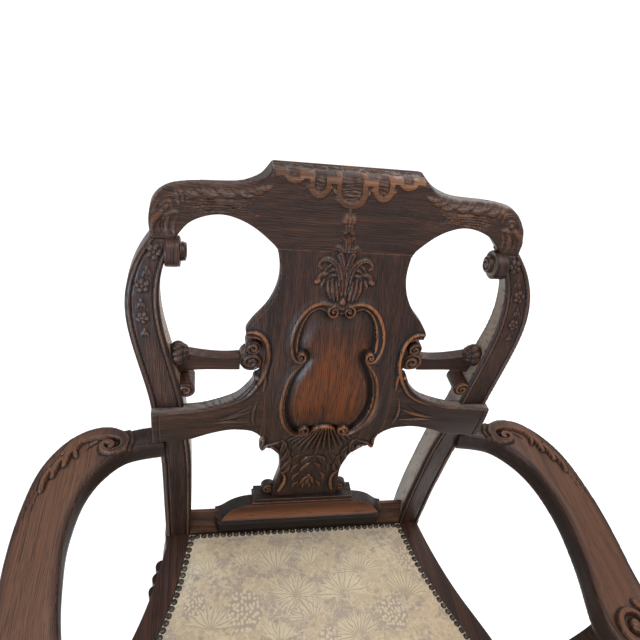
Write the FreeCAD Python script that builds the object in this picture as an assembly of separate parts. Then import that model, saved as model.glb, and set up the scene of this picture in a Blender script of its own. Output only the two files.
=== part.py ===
# A carved oak open armchair for a desk, in millimetres.
# X runs across the chair, Y runs from the front to the back, and Z is up.
# Left and right are as seen by someone who stands in front of the chair.
import FreeCAD
import Part
import math
import os
from FreeCAD import Matrix, Vector

# Seat frame
seat_height = 450.0
rail_depth = 65.0
rail_band = 32.5
rail_ledge = 26.0
rebate_depth = 4.0
fabric_rear_half = 170.0
fabric_front_half = 264.0
fabric_depth = 405.0
front_post = 54.0
rear_post_width = 42.0
rear_post_depth = 46.0
corner_block_leg = 58.0
corner_block_height = 42.0
corner_block_drop = 12.0

# Back, whose carved boards are drawn as shares of this height and half width
back_height = 600.0
back_half = 227.0
back_rake = 100.0
stile_middle = 196.0
stile_bow = 38.0
stile_width = 40.0
stile_foot_width = 37.5
stile_head_width = 29.0
stile_foot_thickness = 44.0
stile_head_thickness = 26.0
crest_thickness = 30.0
crest_roll = 38.0
splat_thickness = 14.0
wing_thickness = 17.0
wing_sweep = 0.105

# Struts and scrolls of the back
strut_height = 21.0
strut_thickness = 14.0
strut_setback = 17.0
strut_scroll_radius = 12.0
strut_scroll_length = 20.0
stile_scroll_radius = 16.5
stile_scroll_tip_radius = 10.0
stile_scroll_length = 15.0
stile_scroll_tip_length = 8.0
notch_scroll_radius = 15.0
notch_scroll_small_radius = 9.5
notch_scroll_depth = 22.0
shoe_scroll_radius = 11.0

# Shoe that carries the splat
rear_rail_rise = 42.0
rear_rail_slope = 13.0
rear_rail_front = 11.0
rear_rail_thickness = 26.0
shoe_half = 139.0
shoe_upper_half = 84.0
shoe_rise = 69.0
shoe_nosing = 2.5
shoe_thickness = 22.0
block_half = 82.0
block_height = 12.0
block_depth = 27.0
block_bead = 4.0

# Arms and their supports
arm_height = 250.0
arm_spread = 369.0
arm_length = 320.0
arm_thickness = 34.0
arm_slope = 12.0
support_foot_width = 29.0
support_width = 37.0
support_waist = 34.0
support_foot_depth = 46.0
support_place = 275.0

# Legs
knee_reach = 7.0
knee_size = 60.0
ankle_size = 29.0
ball_radius = 30.0
foot_flat = 2.0
rear_foot_radius = 27.0
rear_foot_height = 16.0
rear_leg_kick = 52.0
ear_drop = 46.0
ear_length = 58.0
ear_thickness = 20.0
lobe_radius = 11.0
lobe_height = 16.0
lobe_pitch = 21.0

# Seat upholstery
web_thickness = 2.0
web_width = 50.0
hessian_thickness = 1.0
border_thickness = 2.0
soft_gap = 0.3
pad_height = 9.0
pad_inset = 26.0
crown_height = 24.0
crown_run = 150.0
nail_radius = 4.7
nail_height = 3.0
nail_pitch = 10.4
edge_gap = 0.9

rail_bottom = seat_height - rail_depth
nail_line = nail_radius + 0.5
fabric_hem = 2.0 * nail_radius
band_inner = fabric_hem + edge_gap
band_outer = band_inner + rail_band
ledge_inner = band_inner - rail_ledge
side_end = rear_rail_front
front_face = -fabric_depth - band_outer
front_post_back = front_face + front_post
parts = {}


def through(knots, value):
    """Smooth curve through (place, height) knots, with straight ends beyond them."""
    slopes = []
    last = len(knots) - 1
    for i in range(len(knots)):
        a = knots[max(i - 1, 0)]
        b = knots[min(i + 1, last)]
        slopes.append((b[1] - a[1]) / (b[0] - a[0]))
    if value <= knots[0][0]:
        return knots[0][1] + slopes[0] * (value - knots[0][0])
    if value >= knots[last][0]:
        return knots[last][1] + slopes[last] * (value - knots[last][0])
    i = max(k for k in range(last) if knots[k][0] <= value)
    span = knots[i + 1][0] - knots[i][0]
    t = (value - knots[i][0]) / span
    rise = knots[i + 1][1] - knots[i][1]
    blend = t * t * (3.0 - 2.0 * t)
    start = span * slopes[i] * t * (1.0 - t) ** 2
    end = span * slopes[i + 1] * t * t * (1.0 - t)
    return knots[i][1] + rise * blend + start - end


def place(plane, a, b):
    """A point of a drawing on one of the three planes."""
    if plane == "xz":
        return Vector(a, 0.0, b)
    if plane == "yz":
        return Vector(0.0, a, b)
    return Vector(a, b, 0.0)


def edge(plane, points):
    """A line through two points or a smooth curve through more."""
    spots = [place(plane, a, b) for a, b in points]
    if len(spots) == 2:
        return Part.LineSegment(spots[0], spots[1]).toShape()
    curve = Part.BSplineCurve()
    curve.interpolate(spots)
    return curve.toShape()


def drawn(plane, strokes):
    """A face from strokes, each starting where the last one ended."""
    edges = []
    for i, stroke in enumerate(strokes):
        following = strokes[(i + 1) % len(strokes)][0]
        edges.append(edge(plane, stroke))
        if abs(stroke[-1][0] - following[0]) + abs(stroke[-1][1] - following[1]) > 1e-6:
            edges.append(edge(plane, [stroke[-1], following]))
    return Part.Face(Part.Wire(edges))


def across(strokes, x0, x1):
    """A side view drawing pushed along X."""
    face = drawn("yz", strokes)
    face.translate(Vector(x0, 0.0, 0.0))
    return face.extrude(Vector(x1 - x0, 0.0, 0.0))


def deep(strokes, y0, y1):
    """A front view drawing pushed along Y."""
    face = drawn("xz", strokes)
    face.translate(Vector(0.0, y0, 0.0))
    return face.extrude(Vector(0.0, y1 - y0, 0.0))


def tall(strokes, z0, z1):
    """A plan drawing pushed up along Z."""
    face = drawn("xy", strokes)
    face.translate(Vector(0.0, 0.0, z0))
    return face.extrude(Vector(0.0, 0.0, z1 - z0))


def block(x0, x1, y0, y1, z0, z1):
    """A box between two corners."""
    return Part.makeBox(x1 - x0, y1 - y0, z1 - z0, Vector(x0, y0, z0))


def barrel(radius, start, direction, length):
    """A cylinder from a start point along a direction."""
    return Part.makeCylinder(radius, length, start, direction)


def mirrored(shape):
    """The same piece on the other side of the chair."""
    return shape.mirror(Vector(0.0, 0.0, 0.0), Vector(1.0, 0.0, 0.0))


def both(name, shape):
    """A right piece and its mirror image."""
    parts["right_" + name] = shape
    parts["left_" + name] = mirrored(shape)


def largest(shape):
    """The main solid of a cut, without its slivers."""
    return max(shape.Solids, key=lambda solid: solid.Volume)


def level(share):
    """A height of the back, from its share of the whole height."""
    return seat_height + share * back_height


def outline(shares):
    """Points of the front view, from shares of the half width and the height."""
    return [(x * back_half, level(z)) for x, z in shares]


BACK_CURVE = [(0.00, 0.10), (0.13, 0.19), (0.25, 0.135), (0.38, 0.0), (0.52, -0.09),
              (0.68, 0.07), (0.80, 0.30), (0.90, 0.555), (1.00, 0.82)]


STILE_CURVE = [(0.00, 0.10), (0.13, 0.10), (0.25, 0.06), (0.38, 0.0)] + BACK_CURVE[4:]


def setback(share, curve=BACK_CURVE):
    """How far back the front face of the back stands at a height."""
    return back_rake * through(curve, share)


def band(low, high, front_offset, thickness, steps=9, curve=BACK_CURVE):
    """Side view of a curved board that follows the back, as strokes."""
    shares = [low + (high - low) * i / (steps - 1.0) for i in range(steps)]
    front = [(setback(s, curve) + front_offset, level(s)) for s in shares]
    back = [(setback(s, curve) + front_offset + thickness(s), level(s)) for s in reversed(shares)]
    return [front, back]


FABRIC_FLARE = [(-0.1, -0.08), (0.0, 0.0), (0.18, 0.16), (0.33, 0.37), (0.47, 0.617),
                (0.62, 0.81), (0.80, 0.945), (1.0, 1.0), (1.15, 1.01)]


def fabric_half(y):
    """Half width of the fabric at a depth."""
    widening = fabric_front_half - fabric_rear_half
    return fabric_rear_half + widening * through(FABRIC_FLARE, -y / fabric_depth)


def side_curve(offset, y0, y1, steps=7):
    """Plan points along the side of the seat, offset outwards."""
    ys = [y0 + (y1 - y0) * i / (steps - 1.0) for i in range(steps)]
    return [(fabric_half(y) + offset, y) for y in ys]


def crest_rail():
    """The top rail: a sawn front outline on a rolled side profile."""
    half = [(0.407, 1.0), (0.432, 0.990), (0.464, 0.981), (0.508, 0.974), (0.565, 0.969),
            (0.640, 0.967), (0.800, 0.966), (0.863, 0.963), (0.922, 0.957), (0.963, 0.946),
            (0.989, 0.931), (1.0, 0.912), (0.998, 0.892), (0.987, 0.875)]
    arch = [(0.877, 0.875), (0.855, 0.885), (0.819, 0.900), (0.762, 0.912), (0.705, 0.918),
            (0.652, 0.920), (0.586, 0.916), (0.520, 0.907), (0.463, 0.895), (0.366, 0.867)]
    right_top = outline(half)
    right_arch = outline(arch)
    left_top = [(-x, z) for x, z in reversed(right_top)]
    left_arch = [(-x, z) for x, z in reversed(right_arch)]
    board = deep([right_top, right_arch, left_arch, left_top], -back_half, 2.0 * back_half)
    low = 0.867
    lip = 0.985
    nose = setback(lip)
    roll = crest_roll
    top = level(1.0)
    front = [(setback(s), level(s)) for s in (low, 0.89, 0.92, 0.95, lip)]
    over = [front[-1], (nose + 0.12 * roll, top - 0.09 * roll), (nose + 0.4 * roll, top)]
    lid = [over[-1], (nose + roll, top)]
    tail = [lid[-1], (nose + 1.14 * roll, top - 0.15 * roll), (nose + 1.1 * roll, top - 0.4 * roll)]
    back = [tail[-1], (setback(0.95) + 1.15 * crest_thickness, level(0.945)),
            (setback(0.91) + crest_thickness, level(0.91)),
            (setback(low) + crest_thickness, level(low))]
    rolled = across([front, over, lid, tail, back], -1.2 * back_half, 1.2 * back_half)
    plan = [(0.34, 1.9), (0.40, 1.45), (0.46, 1.06), (0.54, 0.86), (0.68, 0.76), (0.88, 0.64),
            (1.03, 0.42)]
    nape = setback(0.96)
    right_rear = [(x * back_half, nape + share * crest_thickness) for x, share in plan]
    left_rear = [(-x, y) for x, y in reversed(right_rear)]
    reach = right_rear[-1][0]
    slab = tall([left_rear, right_rear, [(reach, 0.0), (-reach, 0.0)]], level(low) - 1.0, top + 1.0)
    return board.common(rolled).common(slab)


SPLAT_ARM_TOP = [(0.445, 0.603), (0.458, 0.587), (0.485, 0.573), (0.533, 0.555),
                 (0.595, 0.544), (0.661, 0.537), (0.731, 0.532), (0.811, 0.532)]
SPLAT_ARM_BOTTOM = [(0.775, 0.438), (0.727, 0.445), (0.661, 0.453), (0.604, 0.457),
                    (0.551, 0.458), (0.493, 0.453), (0.454, 0.448), (0.379, 0.422)]
BLOCK_SHARE = (shoe_rise + block_height) / back_height


def splat():
    """The pierced centre board of the back."""
    waist = [(0.366, 0.867), (0.346, 0.832), (0.346, 0.815), (0.357, 0.793), (0.383, 0.770),
             (0.419, 0.750), (0.463, 0.732), (0.493, 0.717), (0.507, 0.705), (0.498, 0.693)]
    notch = [(0.498, 0.693), (0.432, 0.685), (0.396, 0.667), (0.388, 0.642), (0.401, 0.620),
             (0.445, 0.603)]
    seam = [(0.445, 0.603), (0.379, 0.545)]
    joint = [(0.379, 0.545), (0.379, 0.422)]
    scroll = [(0.379, 0.422), (0.363, 0.410), (0.370, 0.383), (0.361, 0.365), (0.348, 0.362)]
    neck = [(0.348, 0.362), (0.330, 0.369), (0.304, 0.371), (0.278, 0.363), (0.251, 0.345),
            (0.231, 0.322), (0.220, 0.293), (0.211, 0.267), (0.211, 0.242), (0.220, 0.208),
            (0.229, 0.175), (0.229, BLOCK_SHARE)]
    right = [outline(s) for s in (waist, notch, seam, joint, scroll, neck)]
    left = [[(-x, z) for x, z in reversed(s)] for s in reversed(right)]
    board = deep(right + left, -back_half, 2.0 * back_half)
    side = band(0.1, 0.9, 0.0, lambda s: splat_thickness, 13)
    return board.common(across(side, -back_half, back_half))


def stile_centre(share):
    """Middle line of a stile in the front view."""
    knots = [(0.0, 0.0), (0.25, 0.02), (0.35, 0.055), (0.417, 0.13), (0.483, 0.225),
             (0.55, 0.33), (0.617, 0.565), (0.687, 0.84), (0.75, 1.0), (0.787, 0.985),
             (0.82, 0.87), (0.853, 0.645), (0.875, 0.41)]
    return stile_middle + stile_bow * through(knots, share)


def stile_half(share):
    """Half the width of a stile in the front view."""
    knots = [(0.0, stile_foot_width), (0.13, stile_width), (0.7, stile_width),
             (0.78, 0.5 * (stile_width + stile_head_width) + 2.5), (0.875, stile_head_width)]
    return 0.5 * through(knots, share)


def stile_depth(share):
    """Front to back thickness of a stile."""
    knots = [(0.0, stile_foot_thickness), (0.3, 0.84 * stile_foot_thickness),
             (0.6, 0.5 * (stile_foot_thickness + stile_head_thickness)),
             (0.75, 1.05 * stile_head_thickness), (0.9, stile_head_thickness)]
    return through(knots, share)


STILE_TOP = 0.875


def stile():
    """The right stile, bowed outwards under the crest."""
    shares = [0.0, 0.125, 0.25, 0.35, 0.45, 0.55, 0.617, 0.685, 0.75, 0.787, 0.82, 0.85, STILE_TOP]
    outer = [(stile_centre(s) + stile_half(s), level(s)) for s in shares]
    inner = [(stile_centre(s) - stile_half(s), level(s)) for s in reversed(shares)]
    board = deep([outer, inner], -back_half, 2.0 * back_half)
    side = band(0.0, 0.9, 0.0, stile_depth, 13, STILE_CURVE)
    return board.common(across(side, 0.0, 1.5 * back_half))


def splat_wing(post):
    """The right arm of the splat, which laps over the stile."""
    reach = stile_centre(0.485) + stile_half(0.485) + 1.0
    top = outline(SPLAT_ARM_TOP)
    bottom = outline(SPLAT_ARM_BOTTOM)
    end = [(reach, top[-1][1]), (reach, bottom[0][1])]
    seam = outline([(0.379, 0.545), (0.445, 0.603)])
    root = outline([(0.379, 0.422), (0.379, 0.545)])
    board = deep([top, end, bottom, root, seam], -back_half, 2.0 * back_half)
    side = across(band(0.38, 0.64, 0.0, lambda s: wing_thickness, 7), 0.0, 1.3 * back_half)
    start = 0.379 * back_half
    sweep = Matrix()
    sweep.A21 = -wing_sweep
    sweep.A24 = wing_sweep * start
    swept = side.transformGeometry(sweep)
    return largest(board.common(swept).cut(post))


def strut(post):
    """The right strut between the notch of the splat and the stile."""
    root = 0.523 * back_half
    end = stile_centre(0.65)
    middle = 0.617
    half = 0.5 * strut_height / back_height
    top = [(root, level(middle + half)), (root + 0.4 * (end - root), level(middle + half)),
           (root + 0.7 * (end - root), level(middle + 1.6 * half)), (end, level(middle + 2.3 * half))]
    bottom = [(end, level(middle - 3.1 * half)), (root + 0.62 * (end - root), level(middle - 1.2 * half)),
              (root + 0.35 * (end - root), level(middle - half)), (root, level(middle - half))]
    front = setback(middle) + strut_setback
    bar = deep([top, bottom], front, front + strut_thickness)
    return largest(bar.cut(post))


def strut_scroll(post, bar):
    """The roll that hangs under the outer end of the right strut."""
    share = 0.567
    centre_x = stile_centre(share) - stile_half(share) - 0.45 * strut_scroll_radius
    start = Vector(centre_x, setback(share) + 3.0, level(share))
    roll = barrel(strut_scroll_radius, start, Vector(0, 1, 0), strut_scroll_length + strut_thickness)
    return largest(roll.cut(post).cut(bar))


def strut_knuckle(post, bar):
    """The leafy swelling on top of the outer end of the right strut."""
    share = 0.640
    centre_x = stile_centre(share) - stile_half(share) - 0.2 * strut_scroll_radius
    start = Vector(centre_x, setback(share) + 4.0, level(share))
    roll = barrel(1.05 * strut_scroll_radius, start, Vector(0, 1, 0), 1.9 * strut_thickness)
    return largest(roll.cut(post).cut(bar))


def stile_scroll(post, crest):
    """The stepped roll on the inner side of the head of the right stile."""
    share = 0.842
    inner = stile_centre(share) - stile_half(share)
    middle = setback(share) + 0.5 * stile_depth(share)
    start = Vector(inner + 2.0, middle, level(share))
    along = Vector(-1, 0, 0)
    wide = barrel(stile_scroll_radius, start, along, stile_scroll_length)
    tip_start = start + along * stile_scroll_length
    tip = barrel(stile_scroll_tip_radius, tip_start, along, stile_scroll_tip_length)
    return largest(wide.fuse(tip).removeSplitter().cut(post).cut(crest))


def notch_scroll(board, bar):
    """The double roll in the right notch of the splat."""
    front = setback(0.64) + 8.0
    x = 0.465 * back_half
    low = Vector(x, front, level(0.632))
    high = Vector(x, front, level(0.669))
    large = barrel(notch_scroll_radius, low, Vector(0, 1, 0), notch_scroll_depth)
    small = barrel(notch_scroll_small_radius, high, Vector(0, 1, 0), notch_scroll_depth)
    return largest(large.fuse(small).removeSplitter().cut(board).cut(bar))


def rear_rail():
    """The rear seat rail, raised above the seat with a sloping front."""
    y0 = rear_rail_front
    y1 = y0 + rear_rail_thickness
    top = seat_height + rear_rail_rise
    half = stile_middle - 0.5 * stile_foot_width
    lip = y0 + rear_rail_slope
    profile = [[(y0, rail_bottom), (y0, seat_height + 0.1 * rear_rail_rise)],
               [(y0, seat_height + 0.1 * rear_rail_rise), (lip, top)],
               [(lip, top), (lip + 4.0, top)],
               [(lip + 4.0, top), (y1, top - 0.3 * rear_rail_rise)],
               [(y1, top - 0.3 * rear_rail_rise), (y1, rail_bottom)]]
    body = across(profile, -half, half)
    ledge_half = fabric_half(0.0) + ledge_inner
    ledge = block(-ledge_half, ledge_half, ledge_inner_back(), y0, rail_bottom,
                  seat_height - rebate_depth)
    return body.fuse(ledge).removeSplitter()


def ledge_inner_back():
    """Front edge of the ledge of the rear rail."""
    return rear_rail_front - rail_ledge


def shoe_plinth(rail):
    """The moulded lower part of the shoe: a hollow over two fillets, with swept ends."""
    foot = seat_height
    rise = shoe_rise
    y0 = rear_rail_front
    nose = shoe_nosing
    top = foot + rise
    back = y0 + shoe_thickness
    lower, upper = y0 - 2.0 * nose, y0 - 3.2 * nose
    right = [(shoe_half, foot + 0.6 * rise), (0.95 * shoe_half, foot + 0.625 * rise),
             (0.88 * shoe_half, foot + 0.74 * rise), (0.8 * shoe_half, foot + 0.87 * rise),
             (0.71 * shoe_half, foot + 0.955 * rise), (shoe_upper_half, top)]
    left = [(-x, z) for x, z in reversed(right)]
    outer = [(-shoe_half, foot), (shoe_half, foot)]
    board = deep([outer, right, left], upper - nose, y0 + 2.0 * shoe_thickness)
    steps = [[(y0, foot), (y0, foot + 0.14 * rise)],
             [(y0, foot + 0.14 * rise), (lower, foot + 0.2 * rise), (lower, foot + 0.38 * rise)],
             [(lower, foot + 0.38 * rise), (lower + 0.3 * nose, foot + 0.41 * rise),
              (lower + nose, foot + 0.43 * rise)],
             [(lower + nose, foot + 0.43 * rise), (y0 - 0.4 * nose, foot + 0.44 * rise)],
             [(y0 - 0.4 * nose, foot + 0.44 * rise), (y0 - 0.4 * nose, foot + 0.51 * rise),
              (y0 - 1.4 * nose, foot + 0.555 * rise), (upper, foot + 0.57 * rise)],
             [(upper, foot + 0.57 * rise), (upper, foot + 0.64 * rise)],
             [(upper, foot + 0.64 * rise), (y0 - 1.5 * nose, foot + 0.69 * rise),
              (y0 - 0.1 * nose, foot + 0.82 * rise), (y0 + 0.7 * nose, top)],
             [(y0 + 0.8 * nose, top), (back, top)],
             [(back, top), (back, foot)]]
    moulding = across(steps, -shoe_half, shoe_half)
    plan = [[(-shoe_half, back), (-shoe_half, y0 + 2.0 * nose)],
            [(-0.92 * shoe_half, upper), (0.92 * shoe_half, upper)],
            [(shoe_half, y0 + 2.0 * nose), (shoe_half, back)]]
    swept = tall(plan, foot - 1.0, top + 1.0)
    return largest(board.common(moulding).common(swept).cut(rail))


def shoe_block():
    """The block on the shoe that the splat stands on."""
    front = rear_rail_front + 1.2 * shoe_nosing
    foot = seat_height + shoe_rise
    bead = block(-block_half, block_half, front - 1.5, front + block_depth, foot, foot + block_bead)
    body = block(-block_half + 2.0, block_half - 2.0, front, front + block_depth, foot + block_bead,
                 foot + block_height)
    return bead.fuse(body).removeSplitter()


def shoe_scroll(board):
    """The small roll beside the right foot of the splat."""
    x = 0.229 * back_half + 0.55 * shoe_scroll_radius
    start = Vector(x, setback(BLOCK_SHARE) + 0.45 * splat_thickness, level(BLOCK_SHARE) + shoe_scroll_radius)
    length = rear_rail_front + block_depth - start.y
    roll = barrel(shoe_scroll_radius, start, Vector(0, 1, 0), length)
    keep = block(x - 2 * shoe_scroll_radius, x + 2 * shoe_scroll_radius, start.y, start.y + length,
                 level(BLOCK_SHARE), level(BLOCK_SHARE) + 3 * shoe_scroll_radius)
    return largest(roll.common(keep).cut(board))


def side_rail():
    """The right side rail, with a rebate for the upholstery."""
    y0 = side_end
    y1 = front_post_back
    outer = side_curve(band_outer, y0, y1)
    inner = side_curve(band_inner, y1, y0)
    deep_inner = side_curve(ledge_inner, y1, y0)
    body = tall([outer, deep_inner], rail_bottom, seat_height - rebate_depth)
    top = tall([outer, inner], seat_height - rebate_depth, seat_height)
    return body.fuse(top).removeSplitter()


def front_rail(side):
    """The front seat rail between the two front posts."""
    half = front_post_centre().x - 0.5 * front_post
    y0 = front_face
    low = block(-half, half, y0, -fabric_depth - ledge_inner, rail_bottom, seat_height - rebate_depth)
    top = block(-half, half, y0, -fabric_depth - band_inner, seat_height - rebate_depth, seat_height)
    rail = low.fuse(top).removeSplitter()
    return rail.cut(side).cut(mirrored(side))


def front_post_centre():
    """Middle of the right front post in plan."""
    y = front_face + 0.5 * front_post
    return Vector(fabric_half(y) + band_outer - 0.5 * front_post, y, 0.0)


def rear_post_centre():
    """Middle of the right rear post in plan."""
    return Vector(stile_middle, rear_rail_front + 0.5 * rear_post_depth, 0.0)


def soft_square(x, y, z, half_x, half_y, corner):
    """A rounded rectangle in plan at a height, as a wire."""
    rx = corner * half_x
    ry = corner * half_y
    r = min(rx, ry)
    k = r * (1.0 - math.sqrt(0.5))
    xs = (x - half_x, x + half_x)
    ys = (y - half_y, y + half_y)
    spots = [(xs[0] + r, ys[0]), (xs[1] - r, ys[0]), (xs[1] - k, ys[0] + k), (xs[1], ys[0] + r),
             (xs[1], ys[1] - r), (xs[1] - k, ys[1] - k), (xs[1] - r, ys[1]), (xs[0] + r, ys[1]),
             (xs[0] + k, ys[1] - k), (xs[0], ys[1] - r), (xs[0], ys[0] + r), (xs[0] + k, ys[0] + k)]
    p = [Vector(a, b, z) for a, b in spots]
    edges = []
    for i in range(0, 12, 3):
        edges.append(Part.LineSegment(p[i], p[i + 1]).toShape())
        edges.append(Part.Arc(p[i + 1], p[i + 2], p[(i + 3) % 12]).toShape())
    return Part.Wire(edges)


def front_leg():
    """The right front leg: post, knee, ankle and a ball foot."""
    c = front_post_centre()
    half = 0.5 * front_post
    knee = 0.5 * knee_size
    ankle = 0.5 * ankle_size
    post = block(c.x - half, c.x + half, c.y - half, c.y + half, rail_bottom, seat_height)
    rows = [(1.0, 0.0, half), (0.955, 0.5, knee - 1.0), (0.87, 1.0, knee), (0.76, 0.65, 0.88 * knee),
            (0.62, -0.2, 0.7 * knee), (0.46, -0.95, 0.57 * knee), (0.31, -1.2, 1.02 * ankle),
            (0.18, -0.9, ankle), (0.10, -0.2, 1.15 * ankle)]
    wires = []
    for share, out, size in rows:
        move = knee_reach * out
        wires.append(soft_square(c.x + move, c.y - move, rail_bottom * share, size, size, 0.35))
    limb = Part.makeLoft(wires, True, False)
    ball_at = Vector(c.x + 0.4 * knee_reach, c.y - 0.4 * knee_reach, ball_radius - foot_flat)
    ball = Part.makeSphere(ball_radius, ball_at)
    floor = block(c.x - 200.0, c.x + 200.0, c.y - 200.0, c.y + 200.0, 0.0, seat_height)
    return post.fuse(limb).fuse(ball.common(floor)).removeSplitter()


def rear_leg():
    """The right rear leg: post, knee and a turned pad foot kicked backwards."""
    c = rear_post_centre()
    hx = 0.5 * rear_post_width
    hy = 0.5 * rear_post_depth
    post = block(c.x - hx, c.x + hx, c.y - hy, c.y + hy, rail_bottom, seat_height)
    rows = [(1.0, 0.0, 0.0, 1.0), (0.93, 3.0, 0.02, 1.12), (0.84, 5.0, 0.08, 1.1), (0.68, 3.0, 0.22, 0.9),
            (0.48, 0.0, 0.48, 0.74), (0.28, 1.0, 0.76, 0.68), (0.12, 3.0, 0.97, 0.72), (0.03, 3.0, 1.0, 0.8)]
    wires = []
    for share, out, kick, size in rows:
        wires.append(soft_square(c.x + out, c.y + rear_leg_kick * kick, rail_bottom * share,
                                 hx * size, hy * size, 0.35))
    limb = Part.makeLoft(wires, True, False)
    base = Vector(c.x + 3.0, c.y + rear_leg_kick, 0.0)
    foot = Part.makeCone(0.85 * rear_foot_radius, rear_foot_radius, 0.4 * rear_foot_height, base)
    neck = Part.makeCone(rear_foot_radius, 0.6 * rear_foot_radius, 0.6 * rear_foot_height,
                         base + Vector(0, 0, 0.4 * rear_foot_height))
    return post.fuse(limb).fuse(foot).fuse(neck).removeSplitter()


def ear(drop, length):
    """Side view of a knee bracket, from its corner at the origin."""
    return [[(0.0, 0.0), (length, 0.0)], [(length, 0.0), (0.97 * length, -0.16 * drop)],
            [(0.97 * length, -0.16 * drop), (0.6 * length, -0.3 * drop), (0.3 * length, -0.55 * drop),
             (0.12 * length, -drop)], [(0.12 * length, -drop), (0.0, -drop)]]


def side_ear(y_post, direction, x_outer, leg):
    """A bracket under a side rail, beside a leg."""
    strokes = [[(y_post + direction * a, rail_bottom + b) for a, b in stroke]
               for stroke in ear(ear_drop, ear_length)]
    return largest(across(strokes, x_outer - ear_thickness, x_outer).cut(leg))


def cross_ear(x_post, direction, y_outer, leg, away):
    """A bracket under the front or rear rail, beside a leg."""
    strokes = [[(x_post + direction * a, rail_bottom + b) for a, b in stroke]
               for stroke in ear(ear_drop, ear_length)]
    low = min(y_outer, y_outer + away * ear_thickness)
    high = max(y_outer, y_outer + away * ear_thickness)
    return largest(deep(strokes, low, high).cut(leg))


def lobed_ear(leg):
    """The carved bracket of a rear leg, whose three lobes stand out beyond the rail."""
    c = rear_post_centre()
    y_start = rear_rail_front
    x_rail = fabric_half(0.0) + band_outer
    body = side_ear(y_start, -1.0, x_rail - 2.0, leg)
    y_end = y_start - 3.2 * lobe_pitch
    outer = side_curve(band_outer + 0.7 * lobe_radius, y_start, y_end)
    inner = side_curve(band_outer - ear_thickness, y_end, y_start)
    foot = rail_bottom - lobe_height
    shelf = tall([outer, inner], foot, rail_bottom)
    for i in range(3):
        y = y_start - lobe_pitch * (i + 0.75)
        x = fabric_half(y) + band_outer + 0.7 * lobe_radius
        shelf = shelf.fuse(barrel(lobe_radius, Vector(x, y, foot), Vector(0, 0, 1), lobe_height))
    trim = block(c.x - 200.0, c.x + 200.0, -400.0, y_start, 0.0, seat_height)
    return largest(body.fuse(shelf).common(trim).removeSplitter().cut(leg))


def corner_block(x, y, toward_x, toward_y, walls):
    """A glued triangular block in a corner of the seat frame."""
    top = seat_height - rebate_depth - corner_block_drop
    size = corner_block_leg
    points = [(x, y), (x + toward_x * size, y), (x, y + toward_y * size)]
    strokes = [[points[0], points[1]], [points[1], points[2]], [points[2], points[0]]]
    piece = tall(strokes, top - corner_block_height, top)
    for wall in walls:
        piece = piece.cut(wall)
    return largest(piece)


def arm_point(share_x, share_y):
    """A plan point of the right arm, from shares of its spread and its length."""
    root_share = (arm_height - 0.5 * arm_thickness) / back_height
    root = stile_centre(root_share) + stile_half(root_share)
    return (root + share_x * (arm_spread - root), setback(root_share) - share_y * arm_length)


def arm(post):
    """The right arm: a broad flat board, sawn to a sweep in plan."""
    neck = [(-0.05, -0.081), (0.124, -0.074), (0.30, -0.052)]
    sweep = [(0.30, -0.052), (0.386, -0.070), (0.484, -0.074), (0.582, -0.062), (0.706, -0.027),
             (0.83, 0.041), (0.922, 0.131), (0.98, 0.275), (1.0, 0.431), (0.987, 0.60),
             (0.972, 0.74), (0.975, 0.86), (0.90, 0.965), (0.735, 1.0), (0.57, 0.96), (0.50, 0.87),
             (0.53, 0.76), (0.575, 0.66), (0.605, 0.55), (0.62, 0.44), (0.608, 0.353),
             (0.569, 0.25), (0.49, 0.159), (0.399, 0.1), (0.275, 0.05), (0.157, 0.031),
             (-0.05, 0.016)]
    plan = [[arm_point(a, b) for a, b in neck], [arm_point(a, b) for a, b in sweep]]
    top = seat_height + arm_height
    board = tall(plan, top - 3.0 * arm_thickness, top + arm_thickness)
    start = arm_point(0.0, -0.2)[1]
    middle = arm_point(0.0, 0.5)[1]
    end = arm_point(0.0, 1.05)[1]
    upper = [(start, top), (middle, top - 0.35 * arm_slope), (end, top - arm_slope)]
    lower = [(y, z - arm_thickness) for y, z in reversed(upper)]
    return largest(board.common(across([upper, lower], 0.0, 1.1 * arm_spread)).cut(post))


def support_foot_y():
    """Middle of the foot of an arm support along the side rail."""
    return -support_place


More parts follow.
